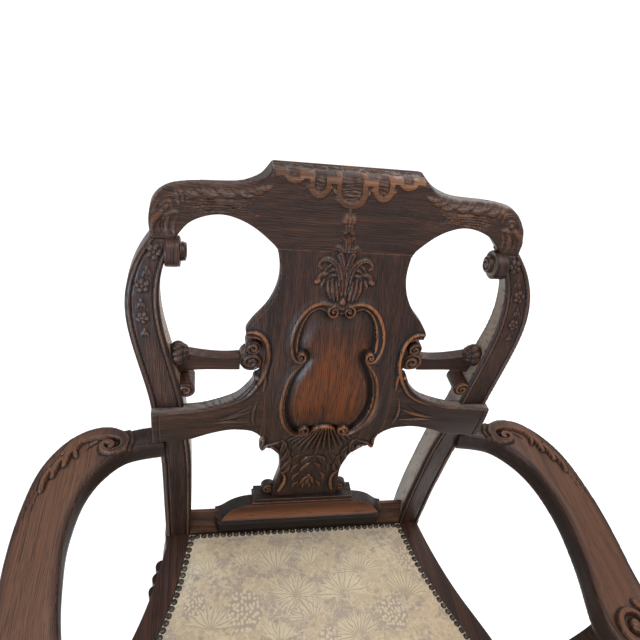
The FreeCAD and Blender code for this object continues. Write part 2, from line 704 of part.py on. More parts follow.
def arm_support(board):
    """The right support: an S curve from the side rail up to the arm."""
    y = support_foot_y()
    foot_inner = fabric_half(y - 0.5 * support_foot_depth) + band_inner
    foot_outer = foot_inner + support_foot_width
    head_inner = arm_point(0.66, 0.0)[0]
    head_outer = head_inner + support_width
    base = seat_height
    top = seat_height + arm_height
    inner = [(foot_inner, base), (foot_inner + 0.08 * (head_inner - foot_inner), base + 0.12 * arm_height),
             (foot_inner + 0.42 * (head_inner - foot_inner), base + 0.38 * arm_height),
             (foot_inner + 0.77 * (head_inner - foot_inner), base + 0.6 * arm_height),
             (foot_inner + 0.96 * (head_inner - foot_inner), base + 0.78 * arm_height),
             (head_inner, top)]
    outer = [(head_outer, top), (foot_outer + 0.97 * (head_outer - foot_outer), base + 0.78 * arm_height),
             (foot_outer + 0.8 * (head_outer - foot_outer), base + 0.6 * arm_height),
             (foot_outer + 0.45 * (head_outer - foot_outer), base + 0.36 * arm_height),
             (foot_outer + 0.12 * (head_outer - foot_outer), base + 0.12 * arm_height),
             (foot_outer, base)]
    front_view = deep([inner, outer], y - support_foot_depth, y + support_foot_depth)
    half_foot = 0.5 * support_foot_depth
    half_waist = 0.5 * support_waist
    shares = [(0.0, 1.0, 0.0), (0.12, 0.9, 0.0), (0.42, 0.0, 0.15), (0.7, 0.35, -0.05), (1.0, 1.0, 0.0)]
    front = []
    back = []
    for share, wide, lean in shares:
        half = half_waist + (half_foot - half_waist) * wide
        z = base + share * arm_height
        front.append((y - half + lean * half_foot, z))
        back.append((y + half + lean * half_foot, z))
    side_view = across([front, list(reversed(back))], 0.0, 1.1 * arm_spread)
    under = front_view.common(side_view).cut(board)
    below = [solid for solid in under.Solids if solid.BoundBox.ZMin < base + 1.0]
    return below[0]


def seat_outline(inset, z):
    """Outline of the fabric, drawn in by an inset, as a wire of lines and arcs."""
    y_rear = fabric_hem - inset
    y_front = -fabric_depth - fabric_hem + inset
    y_turn = y_rear + 0.4 * (y_front - y_rear)
    offset = fabric_hem - inset

    def spot(y, side):
        return Vector(side * (fabric_half(y) + offset), y, z)

    def run(y0, y1, side):
        return Part.Arc(spot(y0, side), spot(0.5 * (y0 + y1), side), spot(y1, side)).toShape()

    rear = Part.LineSegment(spot(y_rear, -1), spot(y_rear, 1)).toShape()
    front = Part.LineSegment(spot(y_front, 1), spot(y_front, -1)).toShape()
    return Part.Wire([rear, run(y_rear, y_turn, 1), run(y_turn, y_front, 1), front,
                      run(y_front, y_turn, -1), run(y_turn, y_rear, -1)])


def flat_seat(inset, z, thickness):
    """A flat sheet of the seat's outline."""
    return Part.Face(seat_outline(inset, z)).extrude(Vector(0.0, 0.0, thickness))


web_level = seat_height - rebate_depth
hessian_level = web_level + web_thickness
border_level = hessian_level + hessian_thickness + soft_gap


def seat_webbing():
    """A lattice of webbing straps across the opening of the frame."""
    sheet = flat_seat(fabric_hem, web_level, web_thickness)
    straps = []
    depth = fabric_depth
    for i in range(6):
        y = -depth * (0.07 + 0.172 * i)
        straps.append(block(-300.0, 300.0, y - 0.5 * web_width, y + 0.5 * web_width, web_level,
                            web_level + web_thickness))
    for i in range(-2, 3):
        x = i * 0.36 * fabric_front_half
        straps.append(block(x - 0.5 * web_width, x + 0.5 * web_width, -2 * depth, depth, web_level,
                            web_level + web_thickness))
    lattice = straps[0]
    for strap in straps[1:]:
        lattice = lattice.fuse(strap)
    return sheet.common(lattice.removeSplitter())


def stuffing_pad():
    """The flat pad of stuffing inside the seat."""
    return flat_seat(fabric_hem + pad_inset, border_level, pad_height)


def crown(share):
    """Height of the cover above its border, from the border to the middle."""
    return (crown_height - border_thickness) * (1.0 - (1.0 - share) ** 2.4)


def seat_cover():
    """The fabric cover with its crown and its nailed border."""
    rows = 6
    start = 2.0 * nail_radius
    border = flat_seat(0.0, border_level, border_thickness)
    wires = []
    for i in range(rows):
        share = i / (rows - 1.0)
        inset = start + (crown_run - start) * share
        wires.append(seat_outline(inset, border_level + border_thickness + crown(share)))
    hill = Part.makeLoft(wires, True, False)
    hollow = flat_seat(fabric_hem + pad_inset - soft_gap, border_level - 1.0,
                       pad_height + 1.0 + soft_gap)
    return largest(border.fuse(hill).removeSplitter().cut(hollow))


def seat_nails():
    """Domed nails set close together round the border of the fabric."""
    y_rear = nail_line
    y_front = -fabric_depth - nail_line
    fine = 400
    path = []
    for i in range(fine + 1):
        y = y_rear + (y_front - y_rear) * i / fine
        path.append((fabric_half(y) + nail_line, y))
    half = path + [(0.0, y_front)]
    spots = walk([(0.0, y_rear)] + half)
    heads = []
    radius = 0.5 * (nail_radius ** 2 + nail_height ** 2) / nail_height
    base = border_level + border_thickness
    for x, y in spots:
        for side in ((1.0,) if x < 0.3 * nail_pitch else (1.0, -1.0)):
            centre = Vector(side * x, y, base + nail_height - radius)
            angle = math.degrees(math.asin((radius - nail_height) / radius))
            heads.append(Part.makeSphere(radius, centre, Vector(0, 0, 1), angle, 90.0, 360.0))
    return Part.makeCompound(heads)


def walk(path):
    """Points at the pitch of the nails along a path of short lines."""
    lengths = [0.0]
    for a, b in zip(path, path[1:]):
        lengths.append(lengths[-1] + math.hypot(b[0] - a[0], b[1] - a[1]))
    count = int(round(lengths[-1] / nail_pitch))
    spots = []
    i = 0
    for k in range(count + 1):
        target = lengths[-1] * k / count
        while i < len(path) - 2 and lengths[i + 1] < target:
            i += 1
        t = (target - lengths[i]) / (lengths[i + 1] - lengths[i])
        spots.append((path[i][0] + t * (path[i + 1][0] - path[i][0]),
                      path[i][1] + t * (path[i + 1][1] - path[i][1])))
    return spots


def build():
    """All pieces of the chair, in the order in which it is put together."""
    rear = rear_rail()
    side = side_rail()
    front = front_rail(side)
    rear = rear.cut(side).cut(mirrored(side))
    parts["rear_seat_rail"] = rear
    parts["front_seat_rail"] = front
    both("side_seat_rail", side)
    leg_front = front_leg()
    leg_rear = rear_leg()
    both("front_leg", leg_front)
    both("rear_leg", leg_rear)

    c = front_post_centre()
    x_side = c.x + 0.5 * front_post
    both("front_leg_side_ear", side_ear(front_post_back, 1.0, x_side - 4.0, leg_front))
    both("front_leg_front_ear", cross_ear(c.x - 0.5 * front_post, -1.0, front_face + 4.0, leg_front, 1.0))
    both("rear_leg_lobed_ear", lobed_ear(leg_rear))
    inner = rear_post_centre().x - 0.5 * rear_post_width
    both("rear_leg_back_ear", cross_ear(inner, -1.0, rear_rail_front + rear_rail_thickness - 2.0, leg_rear,
                                        -1.0))
    rear_y = ledge_inner_back()
    both("rear_corner_block", corner_block(fabric_half(rear_y) + ledge_inner + 20.0, rear_y, -1.0, -1.0,
                                           [side, rear]))
    front_y = -fabric_depth - ledge_inner
    both("front_corner_block", corner_block(fabric_half(front_y) + ledge_inner + 2.0, front_y, -1.0, 1.0,
                                            [side, front]))

    crest = crest_rail()
    board = splat()
    post = stile()
    parts["crest_rail"] = crest
    parts["splat"] = board
    both("stile", post)
    both("splat_wing", splat_wing(post))
    bar = strut(post)
    both("strut", bar)
    both("strut_scroll", strut_scroll(post, bar))
    both("strut_knuckle", strut_knuckle(post, bar))
    both("stile_scroll", stile_scroll(post, crest))
    both("notch_scroll", notch_scroll(board, bar))
    parts["shoe_plinth"] = shoe_plinth(rear)
    parts["shoe_block"] = shoe_block()
    both("shoe_scroll", shoe_scroll(board))

    rest = arm(post)
    both("arm", rest)
    both("arm_support", arm_support(rest))

    parts["seat_webbing"] = seat_webbing()
    parts["seat_hessian"] = flat_seat(2.0, hessian_level, hessian_thickness)
    parts["stuffing_pad"] = stuffing_pad()
    parts["seat_cover"] = seat_cover()
    parts["seat_nails"] = seat_nails()


def save():
    """Stands the chair on the origin, centred, and writes each piece."""
    os.makedirs("parts", exist_ok=True)
    boxes = [shape.optimalBoundingBox(True, False) for shape in parts.values()]
    y_middle = 0.5 * (min(b.YMin for b in boxes) + max(b.YMax for b in boxes))
    print("chair", round(max(b.XMax for b in boxes) - min(b.XMin for b in boxes), 1),
          round(max(b.YMax for b in boxes) - min(b.YMin for b in boxes), 1),
          round(max(b.ZMax for b in boxes), 1), "shift", round(-y_middle, 2))
    for name, shape in parts.items():
        shape.translate(Vector(0.0, -y_middle, 0.0))
        shape.exportStep("parts/" + name + ".step")
        print(name, len(shape.Solids), shape.isValid(), round(shape.Volume))


build()
save()
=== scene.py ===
# %% [markdown]
# # A carved oak elbow chair
# The CAD model gives the chair's frame in metres, already in its place. This lesson dresses it:
# carved boards, turned rolls, a woven seat, nails and the finish of old waxed oak.

# %% Load the frame
from functools import partial, reduce

import bmesh
import bpy
import numpy as np
from mathutils import Matrix, Vector


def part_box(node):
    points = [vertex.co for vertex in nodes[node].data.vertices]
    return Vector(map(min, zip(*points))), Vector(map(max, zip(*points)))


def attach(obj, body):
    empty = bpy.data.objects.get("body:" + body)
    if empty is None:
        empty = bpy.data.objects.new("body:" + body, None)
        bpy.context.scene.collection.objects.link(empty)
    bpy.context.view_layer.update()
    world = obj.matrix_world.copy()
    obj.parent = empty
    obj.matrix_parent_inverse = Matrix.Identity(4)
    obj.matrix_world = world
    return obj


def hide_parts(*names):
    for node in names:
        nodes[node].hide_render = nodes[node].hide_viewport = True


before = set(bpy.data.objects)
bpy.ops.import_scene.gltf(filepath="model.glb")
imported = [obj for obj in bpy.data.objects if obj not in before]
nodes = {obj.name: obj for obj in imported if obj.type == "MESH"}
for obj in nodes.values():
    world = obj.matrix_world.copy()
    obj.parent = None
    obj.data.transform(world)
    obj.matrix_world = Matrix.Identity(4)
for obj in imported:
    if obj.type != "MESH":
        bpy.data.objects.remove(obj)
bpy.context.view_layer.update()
print("nodes", len(nodes))

# %% [markdown]
# ## Where the camera stands
# The photograph was taken from in front of the left arm, at the height of a standing person's eyes.
# Its place was worked out from the back's two equal halves, so the camera is set from plain
# numbers: three turns, one place and one focal length in pixels of a picture 640 wide.

# %% Camera
YAW, PITCH, ROLL = 0.262114501, 0.645357593, -0.180161695
CAMERA_PLACE = np.array([-0.170422, -0.353631, 1.310631])
FOCAL_PIXELS = 572.0


def camera_axes(yaw, pitch, roll):
    """Right, down and forward of a camera: turned by yaw, tipped down by pitch, then rolled."""
    forward = np.array([np.sin(yaw) * np.cos(pitch), np.cos(yaw) * np.cos(pitch), -np.sin(pitch)])
    level = np.array([np.cos(yaw), -np.sin(yaw), 0.0])
    down = np.cross(forward, level)
    right = np.cos(roll) * level + np.sin(roll) * down
    return right, np.cos(roll) * down - np.sin(roll) * level, forward


camera_data = bpy.data.cameras.new("camera")
camera = bpy.data.objects.new("camera", camera_data)
bpy.context.scene.collection.objects.link(camera)
right, down, forward = camera_axes(YAW, PITCH, ROLL)
pose = np.eye(4)
pose[:3, :3] = np.stack([right, -down, -forward], axis=1)
pose[:3, 3] = CAMERA_PLACE
camera.matrix_world = Matrix(pose.tolist())
camera_data.lens = FOCAL_PIXELS / 640.0 * camera_data.sensor_width
camera_data.clip_start = 0.02
bpy.context.scene.camera = camera
print("lens", round(camera_data.lens, 1), "mm")

# %% [markdown]
# ## Light and floor
# A studio for furniture is a pale floor, a broad soft lamp overhead, a weaker one behind, a cool
# one from the window side and an even white sky. A small blue lamp stands near the left arm,
# because the photograph has a haze of daylight there. The sky is white where the camera sees it and
# greyer where it only lights. The helpers for shader nodes serve the sky, the floor and every
# finish after them.

# %% Node helpers


class Nodes:
    """A short way to add nodes and links to one node tree."""

    def __init__(self, tree):
        self.tree = tree

    def add(self, kind, **values):
        """A node of a kind. Keys name its attributes; in_NAME or in_NUMBER set its inputs."""
        node = self.tree.nodes.new("ShaderNode" + kind)
        for key, value in values.items():
            if not key.startswith("in_"):
                setattr(node, key, value)
        for key, value in values.items():
            if key.startswith("in_"):
                spot = key[3:].replace("_", " ")
                self.plug(value, node.inputs[int(spot) if spot.isdigit() else spot])
        return node

    def plug(self, value, socket):
        """Links a node's first output or a socket to a socket, or sets a constant there."""
        if isinstance(value, bpy.types.Node):
            value = value.outputs[0]
        if isinstance(value, bpy.types.NodeSocket):
            self.tree.links.new(value, socket)
        else:
            socket.default_value = value

    def math(self, operation, *values, clamp=False):
        """A Math node with one to three values."""
        node = self.add("Math", operation=operation, use_clamp=clamp)
        for socket, value in zip(node.inputs, values):
            self.plug(value, socket)
        return node

    def times(self, a, b, **more):
        """a x b."""
        return self.math("MULTIPLY", a, b, **more)

    def less(self, a, b, **more):
        """a - b."""
        return self.math("SUBTRACT", a, b, **more)

    def ramp(self, value, low, high):
        """0 below low, 1 above high, smooth between."""
        node = self.add("MapRange", interpolation_type="SMOOTHSTEP", in_Value=value)
        node.inputs["From Min"].default_value = low
        node.inputs["From Max"].default_value = high
        return node

    def mix(self, share, a, b, blend="MIX"):
        """A colour mix."""
        node = self.add("Mix", data_type="RGBA", blend_type=blend, clamp_factor=True)
        self.plug(share, node.inputs[0])
        self.plug(a, node.inputs[6])
        self.plug(b, node.inputs[7])
        return node.outputs[2]


def colour(red, green, blue):
    """A paint colour given as it looks on a screen, 0 to 255, made linear for the shader."""
    values = np.array([red, green, blue]) / 255.0
    linear = np.where(values <= 0.04045, values / 12.92, ((values + 0.055) / 1.055) ** 2.4)
    return (*linear.tolist(), 1.0)


def new_group(name, inputs, outputs):
    """An empty node group with named sockets, given as (name, type, value)."""
    group = bpy.data.node_groups.new(name, "ShaderNodeTree")
    for label, kind, value in inputs:
        socket = group.interface.new_socket(label, in_out="INPUT", socket_type="NodeSocket" + kind)
        socket.default_value = value
    for label, kind in outputs:
        group.interface.new_socket(label, in_out="OUTPUT", socket_type="NodeSocket" + kind)
    maker = Nodes(group)
    ends = [group.nodes.new("NodeGroup" + end) for end in ("Input", "Output")]
    return group, maker, ends[0], ends[1]


def new_finish(name):
    """A material's start: itself, its node helper, its shader and the place of each point."""
    material = bpy.data.materials.new(name)
    material.use_nodes = True
    n = Nodes(material.node_tree)
    shader = material.node_tree.nodes["Principled BSDF"]
    return material, n, shader, n.add("TexCoord").outputs["Object"]


print("node helpers ready")

# %% Light and floor
scene = bpy.context.scene
scene.view_settings.view_transform = "Standard"


def soft_lamp(name, place, aim, size, power, tint=(1.0, 1.0, 1.0)):
    """A square area lamp at a place, turned to shine on an aim."""
    data = bpy.data.lights.new(name, "AREA")
    data.size = size
    data.energy = power
    data.color = tint
    lamp = bpy.data.objects.new(name, data)
    scene.collection.objects.link(lamp)
    lamp.location = place
    lamp.rotation_euler = (Vector(aim) - Vector(place)).to_track_quat("-Z", "Y").to_euler()
    return lamp


soft_lamp("lamp_over", (0.5, -0.5, 2.7), (0.0, 0.0, 0.6), 1.5, 42.0, (1.0, 0.97, 0.93))
soft_lamp("lamp_window", (-1.9, -1.5, 0.9), (-0.1, 0.1, 0.8), 1.3, 14.0, (0.80, 0.89, 1.0))
near = soft_lamp("lamp_near", (-0.62, -0.26, 0.94), (-0.26, 0.14, 0.76), 0.30, 1.6,
                 (0.50, 0.76, 1.0))
near.data.spread = float(np.radians(84.0))
soft_lamp("lamp_back", (1.2, 2.2, 1.9), (0.0, 0.0, 0.8), 1.6, 20.0, (1.0, 0.97, 0.94))


def seen_or_lit(n, lit, seen, end):
    """Shows the camera, shiny faces and clear faces one shader, while another gives the light."""
    path = n.add("LightPath")
    direct = n.math("MAXIMUM", path.outputs["Is Camera Ray"], path.outputs["Is Glossy Ray"])
    direct = n.math("MAXIMUM", direct, path.outputs["Is Transmission Ray"])
    n.plug(n.add("MixShader", in_Fac=direct, in_1=lit, in_2=seen), n.add(end).inputs["Surface"])


world = bpy.data.worlds.new("sky")
scene.world = world
world.use_nodes = True
world.node_tree.nodes.clear()
n = Nodes(world.node_tree)
seen_or_lit(n, n.add("Background", in_Color=(0.90, 0.93, 0.97, 1.0), in_Strength=0.42),
            n.add("Background", in_Color=(1.0, 1.0, 1.0, 1.0)), "OutputWorld")

bpy.ops.mesh.primitive_plane_add(size=90.0, location=(0.0, 0.0, -0.0005))
floor = bpy.context.object
floor.name = "floor"
floor_paint = bpy.data.materials.new("pale_floor")
floor_paint.use_nodes = True
floor_paint.node_tree.nodes.clear()
n = Nodes(floor_paint.node_tree)
matte, half = [n.add("BsdfDiffuse", in_Color=(grey, grey, grey, 1.0)) for grey in (0.70, 0.50)]
glow = n.add("Emission", in_Color=(0.86, 0.86, 0.86, 1.0))
seen_or_lit(n, matte, n.add("AddShader", in_0=half, in_1=glow), "OutputMaterial")
floor.data.materials.append(floor_paint)
print("lamps and floor ready")

# %% [markdown]
# ## Old waxed oak
# Period chairs were fumed and waxed until nearly black, then rubbed by two lifetimes of sleeves and
# dusters. Four effects make that finish, each a node group used by several materials: grain drawn
# along one axis, short open pores, patchy colour from handling, and arrises worn to a warm brown.
# Carved pieces carry a point attribute named carve, from -1 in a hollow to 1 on a ridge.

# %% Grain group
ORIGIN = (0.0, 0.0, 0.0)
grain_group, g, g_in, g_out = new_group(
    "oak_grain",
    [("Position", "Vector", ORIGIN), ("Stretch", "Vector", (1.0, 1.0, 0.06)),
     ("Streaks", "Float", 420.0)],
    [("Figure", "Float"), ("Pores", "Float")])
stretched = g.add("VectorMath", operation="MULTIPLY", in_0=g_in.outputs[0], in_1=g_in.outputs[1])
wander = g.add("TexNoise", in_Vector=g_in.outputs[0], in_Scale=22.0, in_Detail=2.0)
bowed = g.add("VectorMath", operation="MULTIPLY_ADD", in_0=wander.outputs["Color"],
              in_1=(0.0036, 0.0036, 0.0036), in_2=stretched)
bent = g.add("VectorMath", operation="MULTIPLY", in_0=bowed, in_1=(1.0, 0.15, 1.0))
broad = g.add("TexNoise", in_Vector=bent, in_Scale=120.0, in_Detail=4.0, in_Roughness=0.6)
fine = g.add("TexNoise", in_Vector=bent, in_Scale=g_in.outputs[2], in_Detail=4.0,
             in_Roughness=0.7)
rings = g.add("TexWave", wave_type="BANDS", bands_direction="DIAGONAL", in_Vector=bent,
              in_Scale=g.times(g_in.outputs[2], 0.44), in_Distortion=5.0, in_Detail=2.0,
              in_Detail_Scale=0.7)
lined = g.math("MULTIPLY_ADD", g.less(rings, 0.5), 0.15, g.times(fine, 0.72))
g.plug(g.math("MULTIPLY_ADD", g.less(broad, 0.5), 0.6, lined), g_out.inputs[0])
pore_noise = g.add("TexNoise", in_Vector=bent, in_Scale=g.times(g_in.outputs[2], 1.9),
                   in_Detail=1.5, in_Roughness=0.5)
g.plug(g.ramp(pore_noise, 0.58, 0.72), g_out.inputs[1])
print("grain group", len(grain_group.nodes), "nodes")

# %% Patina group
patina_group, g, g_in, g_out = new_group(
    "wax_patina",
    [("Position", "Vector", ORIGIN), ("Size", "Float", 9.0)],
    [("Patches", "Float"), ("Dust", "Float")])
patches = g.add("TexNoise", in_Vector=g_in.outputs[0], in_Scale=g_in.outputs[1], in_Detail=5.0,
                in_Roughness=0.55)
g.plug(g.ramp(patches, 0.36, 0.66), g_out.inputs[0])
specks = g.add("TexNoise", in_Vector=g_in.outputs[0], in_Scale=210.0, in_Detail=3.0)
g.plug(g.ramp(specks, 0.55, 0.78), g_out.inputs[1])
print("patina group", len(patina_group.nodes), "nodes")

# %% Wear group
wear_group, g, g_in, g_out = new_group(
    "worn_arris",
    [("Normal edge", "Vector", (0.0, 0.0, 1.0)), ("Normal plain", "Vector", (0.0, 0.0, 1.0)),
     ("Carve", "Float", 0.0), ("Rub", "Float", 0.5)],
    [("Worn", "Float"), ("Hollow", "Float")])
turn = g.add("VectorMath", operation="DOT_PRODUCT", in_0=g_in.outputs[0], in_1=g_in.outputs[1])
arris = g.ramp(g.less(1.0, turn.outputs["Value"]), 0.015, 0.20)
raised = g.ramp(g_in.outputs[2], 0.16, 0.95)
worn = g.math("MAXIMUM", arris, raised)
g.plug(g.times(worn, g.math("MULTIPLY_ADD", g_in.outputs[3], 0.9, 0.25), clamp=True),
       g_out.inputs[0])
g.plug(g.ramp(g.times(g_in.outputs[2], -1.0), 0.03, 0.55), g_out.inputs[1])
print("wear group", len(wear_group.nodes), "nodes")

# %% Oak material
GRAIN_STREAKS = 560.0
LIT_SLOPE_FACING = (0.0, -0.85, 0.53)


def oak(name, dark, mid, worn, stretch, gloss=0.34, carved=False, pores=0.6,
        warm=None, grain_band=(-0.05, 0.48), lit_slope_heights=()):
    """Waxed oak. stretch is 1, 1, 1 with a small value on the axis that the grain runs along.

    Base Color goes from dark to mid with the figure and the patches, down in pores and hollows,
    and up to the worn colour on arrises and ridges. warm is the colour laid by a point attribute:
    painted light on some pieces and rubbed bare wood on others; the next argument is the range of
    grain that it shows in. The last argument paints light on faces that lean back like a
    moulding's cove, and paints shade over what lies below its two heights in m.
    """
    material, n, shader, spot = new_finish(name)
    grain = n.add("Group", node_tree=grain_group, in_0=spot, in_1=stretch, in_2=GRAIN_STREAKS)
    patina = n.add("Group", node_tree=patina_group, in_0=spot)
    edge = n.add("Bevel", samples=4, in_Radius=0.0016)
    plain = n.add("NewGeometry")
    wear = n.add("Group", node_tree=wear_group, in_0=edge, in_1=plain.outputs["Normal"],
                 in_3=patina)
    if carved:
        n.plug(n.add("Attribute", attribute_name="carve").outputs["Fac"], wear.inputs[2])
    figure = n.ramp(grain.outputs[0], 0.20, 0.62)
    body = n.mix(n.math("MULTIPLY_ADD", figure, 0.72, 0.10), dark, mid)
    body = n.mix(n.times(patina.outputs[0], 0.40), body, dark)
    # Painted light and wear: warm is laid where the point attribute asks, as painted light or a
    # painted sheen on the panel, the stiles' inner sides and the wings' tops, and as rubbed wood on
    # the arms.
    if warm:
        wear_and_light = n.add("Attribute", attribute_name="wear_and_light")
        share = n.times(wear_and_light.outputs["Fac"], n.ramp(grain.outputs[0], *grain_band))
        body = n.mix(share, body, warm)
    streaked = n.math("MULTIPLY_ADD", figure, 0.35, 0.62)
    body = n.mix(n.times(wear.outputs[0], streaked), body, worn)
    # Painted light and shade: faces that lean back are painted towards the worn colour as if lit,
    # and what lies below the two heights is painted darker as shade.
    if lit_slope_heights:
        lean = n.add("VectorMath", operation="DOT_PRODUCT", in_0=plain.outputs["Normal"],
                     in_1=LIT_SLOPE_FACING)
        slope = n.ramp(lean.outputs["Value"], 0.86, 0.98)
        height = n.add("SeparateXYZ", in_Vector=spot).outputs["Z"]
        above = n.ramp(height, *lit_slope_heights)
        body = n.mix(n.math("MULTIPLY_ADD", above, -0.55, 0.55), body, dark)
        slope = n.times(n.times(slope, 0.56), above)
        body = n.mix(n.times(slope, streaked), body, worn)
    black = (dark[0] * 0.28, dark[1] * 0.28, dark[2] * 0.30, 1.0)
    body = n.mix(n.times(grain.outputs[1], pores), body, black)
    body = n.mix(n.times(wear.outputs[1], 0.92), body, black)
    n.plug(body, shader.inputs["Base Color"])
    rough = n.math("MULTIPLY_ADD", patina.outputs[0], 0.10, gloss)
    rough = n.math("MULTIPLY_ADD", grain.outputs[1], 0.22, rough)
    rough = n.math("MULTIPLY_ADD", wear.outputs[1], 0.20, rough)
    n.plug(rough, shader.inputs["Roughness"])
    shader.inputs["Specular IOR Level"].default_value = 0.22
    relief = n.less(n.times(grain.outputs[0], 0.5), grain.outputs[1])
    n.plug(n.add("Bump", in_Strength=0.35, in_Distance=0.0006, in_Height=relief, in_Normal=edge),
           shader.inputs["Normal"])
    return material


ALONG_X, ALONG_Y, ALONG_Z = (0.05, 1, 1), (1, 0.05, 1), (1, 1, 0.05)
DEEP, MID, RUBBED = colour(17, 10, 8), colour(84, 52, 40), colour(150, 90, 52)
oak_x = oak("oak_across", DEEP, MID, RUBBED, ALONG_X)
oak_y = oak("oak_fore_and_aft", DEEP, MID, RUBBED, ALONG_Y)
oak_z = oak("oak_upright", DEEP, MID, RUBBED, ALONG_Z)
print("oak materials", 3)

# %% [markdown]
# ## How carving is made here
# A carver draws the outline on a board, saws it, then lowers the ground and models what is left.
# The same order works with numbers. A board is a grid of points seen from the front, kept where the
# outline holds them. Its height field starts flat, and every gouge cut or raised ridge is a stroke:
# a smooth line with a half width and a rise. A height per grid point is fast and never tears, and
# it fits shallow relief, which has no undercuts.

# %% Smooth lines
MM = 0.001
FABRIC_REAR = 167.99
HANDS = (("right", 1.0), ("left", -1.0))


def smooth(points, step=1.0):
    """A natural cubic spline through rows of numbers, sampled about every step mm.

    The second derivatives come from one linear system; its first two columns set the spacing.
    """
    p = np.array(points, float)
    t = np.concatenate([[0.0], np.cumsum(np.linalg.norm(np.diff(p[:, :2], axis=0), axis=1))])
    gap = np.diff(t)
    at = np.linspace(0.0, t[-1], max(2, int(np.ceil(t[-1] / step)) + 1))
    k = np.clip(np.searchsorted(t, at, side="right") - 1, 0, len(p) - 2)
    system, target = np.eye(len(p)), np.zeros(p.shape)
    inner = np.arange(1, len(p) - 1)
    system[inner, inner - 1], system[inner, inner + 1] = gap[:-1], gap[1:]
    system[inner, inner] = 2.0 * (gap[:-1] + gap[1:])
    slope = np.diff(p, axis=0) / gap[:, None]
    target[inner] = 6.0 * np.diff(slope, axis=0)
    bend = np.linalg.solve(system, target)
    h = gap[k][:, None]
    a, b = (t[k + 1] - at)[:, None] / h, (at - t[k])[:, None] / h
    bow = ((a ** 3 - a) * bend[k] + (b ** 3 - b) * bend[k + 1]) * h * h / 6.0
    return a * p[k] + b * p[k + 1] + bow


def spiral(x, z, radius, turns, start, way=1.0, inner=0.22):
    """Points of a volute: the radius falls evenly from outside to a share of itself."""
    n = max(5, int(turns * 7))
    s = np.linspace(0.0, 1.0, n)
    r = radius * (1.0 - (1.0 - inner) * s)
    angle = np.radians(start) + way * 2.0 * np.pi * turns * s
    return [(x + a, z + b) for a, b in zip(r * np.cos(angle), r * np.sin(angle))]


print("a volute of", len(spiral(0, 0, 8, 1.4, 90)), "points")

# %% Strokes


def flat_top(t):
    """Level, with a short rounded fall at the edge."""
    return np.clip((1.0 - t) * 4.5, 0.0, 1.0) ** 0.6


PROFILES = {
    "ridge": lambda t: np.sqrt(np.clip(1.0 - t * t, 0.0, 1.0)),
    "band": flat_top,
    "strap": flat_top,
    "leaf": lambda t: np.clip(1.0 - t ** 3, 0.0, 1.0) - 0.55 * np.exp(-(t / 0.28) ** 2),
    "gouge": lambda t: -((1.0 - t * t) ** 2),
    "dome": lambda t: (1.0 - t * t) ** 0.75,
}


def stroke(kind, points, half, rise):
    """A carved line: half is its half width and rise its height, in mm, along its length."""
    return kind, points, np.atleast_1d(half).astype(float), np.atleast_1d(rise).astype(float)


ridge, band, strap, leaf, gouge, dome = [partial(stroke, kind) for kind in PROFILES]


def handed(strokes, way):
    """The strokes as they are, with way 1, or their mirror images, with way -1."""
    return [(kind, [(way * p[0], p[1]) for p in points], half, rise)
            for kind, points, half, rise in strokes]


def twin(strokes):
    """The strokes and their mirror images."""
    return strokes + handed(strokes, -1.0)


def carve(height, a, b, strokes):
    """Cuts strokes into a height field, in place.

    Each stroke is a row of discs. A point takes the profile at its distance over the half width of
    the nearest disc: raised kinds by the larger height, gouges by adding to what is there. A strap
    is a row of squares instead, so that its corners stay square.
    """
    flat, fa, fb = height.reshape(-1), a.reshape(-1), b.reshape(-1)
    for kind, points, half, rise in strokes:
        path = smooth(points, 0.7) if len(points) > 1 else np.array(points, float)
        s = np.linspace(0.0, 1.0, len(path))
        w = np.interp(s, np.linspace(0.0, 1.0, len(half)), half)
        h = np.interp(s, np.linspace(0.0, 1.0, len(rise)), rise)
        low, high, reach = path.min(0), path.max(0), w.max()
        near = np.nonzero((fa > low[0] - reach) & (fa < high[0] + reach)
                          & (fb > low[1] - reach) & (fb < high[1] + reach))[0]
        if len(near) == 0:
            continue
        across, along = fa[near][:, None] - path[:, 0], fb[near][:, None] - path[:, 1]
        if kind == "strap":
            share = np.maximum(np.abs(across), np.abs(along)) / w
        else:
            share = np.hypot(across, along) / w
        k = share.argmin(1)
        t = share[np.arange(len(near)), k]
        hit = t < 1.0
        spots, value = near[hit], h[k[hit]] * PROFILES[kind](t[hit])
        flat[spots] = flat[spots] + value if kind == "gouge" else np.maximum(flat[spots], value)
    return height


print("profiles", sorted(PROFILES))

# %% Outlines


def closed(*runs):
    """An outline from runs of points, each smoothed on its own, so that corners stay sharp."""
    parts = [smooth(run, 1.2)[:, :2] for run in runs]
    line = np.concatenate(parts)
    apart = np.linalg.norm(line - np.roll(line, 1, axis=0), axis=1) > 1e-3
    return line[apart]


def inside(line, x, z):
    """Whether points are inside a closed outline: the count of crossings to the right is odd."""
    x0, z0 = line[:, 0], line[:, 1]
    x1, z1 = np.roll(x0, -1), np.roll(z0, -1)
    odd = np.zeros(x.shape, bool)
    for k in range(len(line)):
        over = (z0[k] > z) != (z1[k] > z)
        odd ^= over & (x < x0[k] + (z - z0[k]) * (x1[k] - x0[k]) / (z1[k] - z0[k] + 1e-12))
    return odd


def nearest(line, x, z):
    """Distance from points to a closed outline, and the nearest points on it."""
    start, run = line, np.roll(line, -1, axis=0) - line
    length = (run ** 2).sum(1) + 1e-12
    away, spot = np.empty(len(x)), np.empty((len(x), 2))
    for first in range(0, len(x), 3000):
        q = np.stack([x[first:first + 3000], z[first:first + 3000]], -1)[:, None]
        share = np.clip(((q - start) * run).sum(-1) / length, 0.0, 1.0)
        on = start + share[..., None] * run
        gap = ((on - q) ** 2).sum(-1)
        k = gap.argmin(1)
        rows = np.arange(len(k))
        away[first:first + 3000], spot[first:first + 3000] = np.sqrt(gap[rows, k]), on[rows, k]
    return away, spot


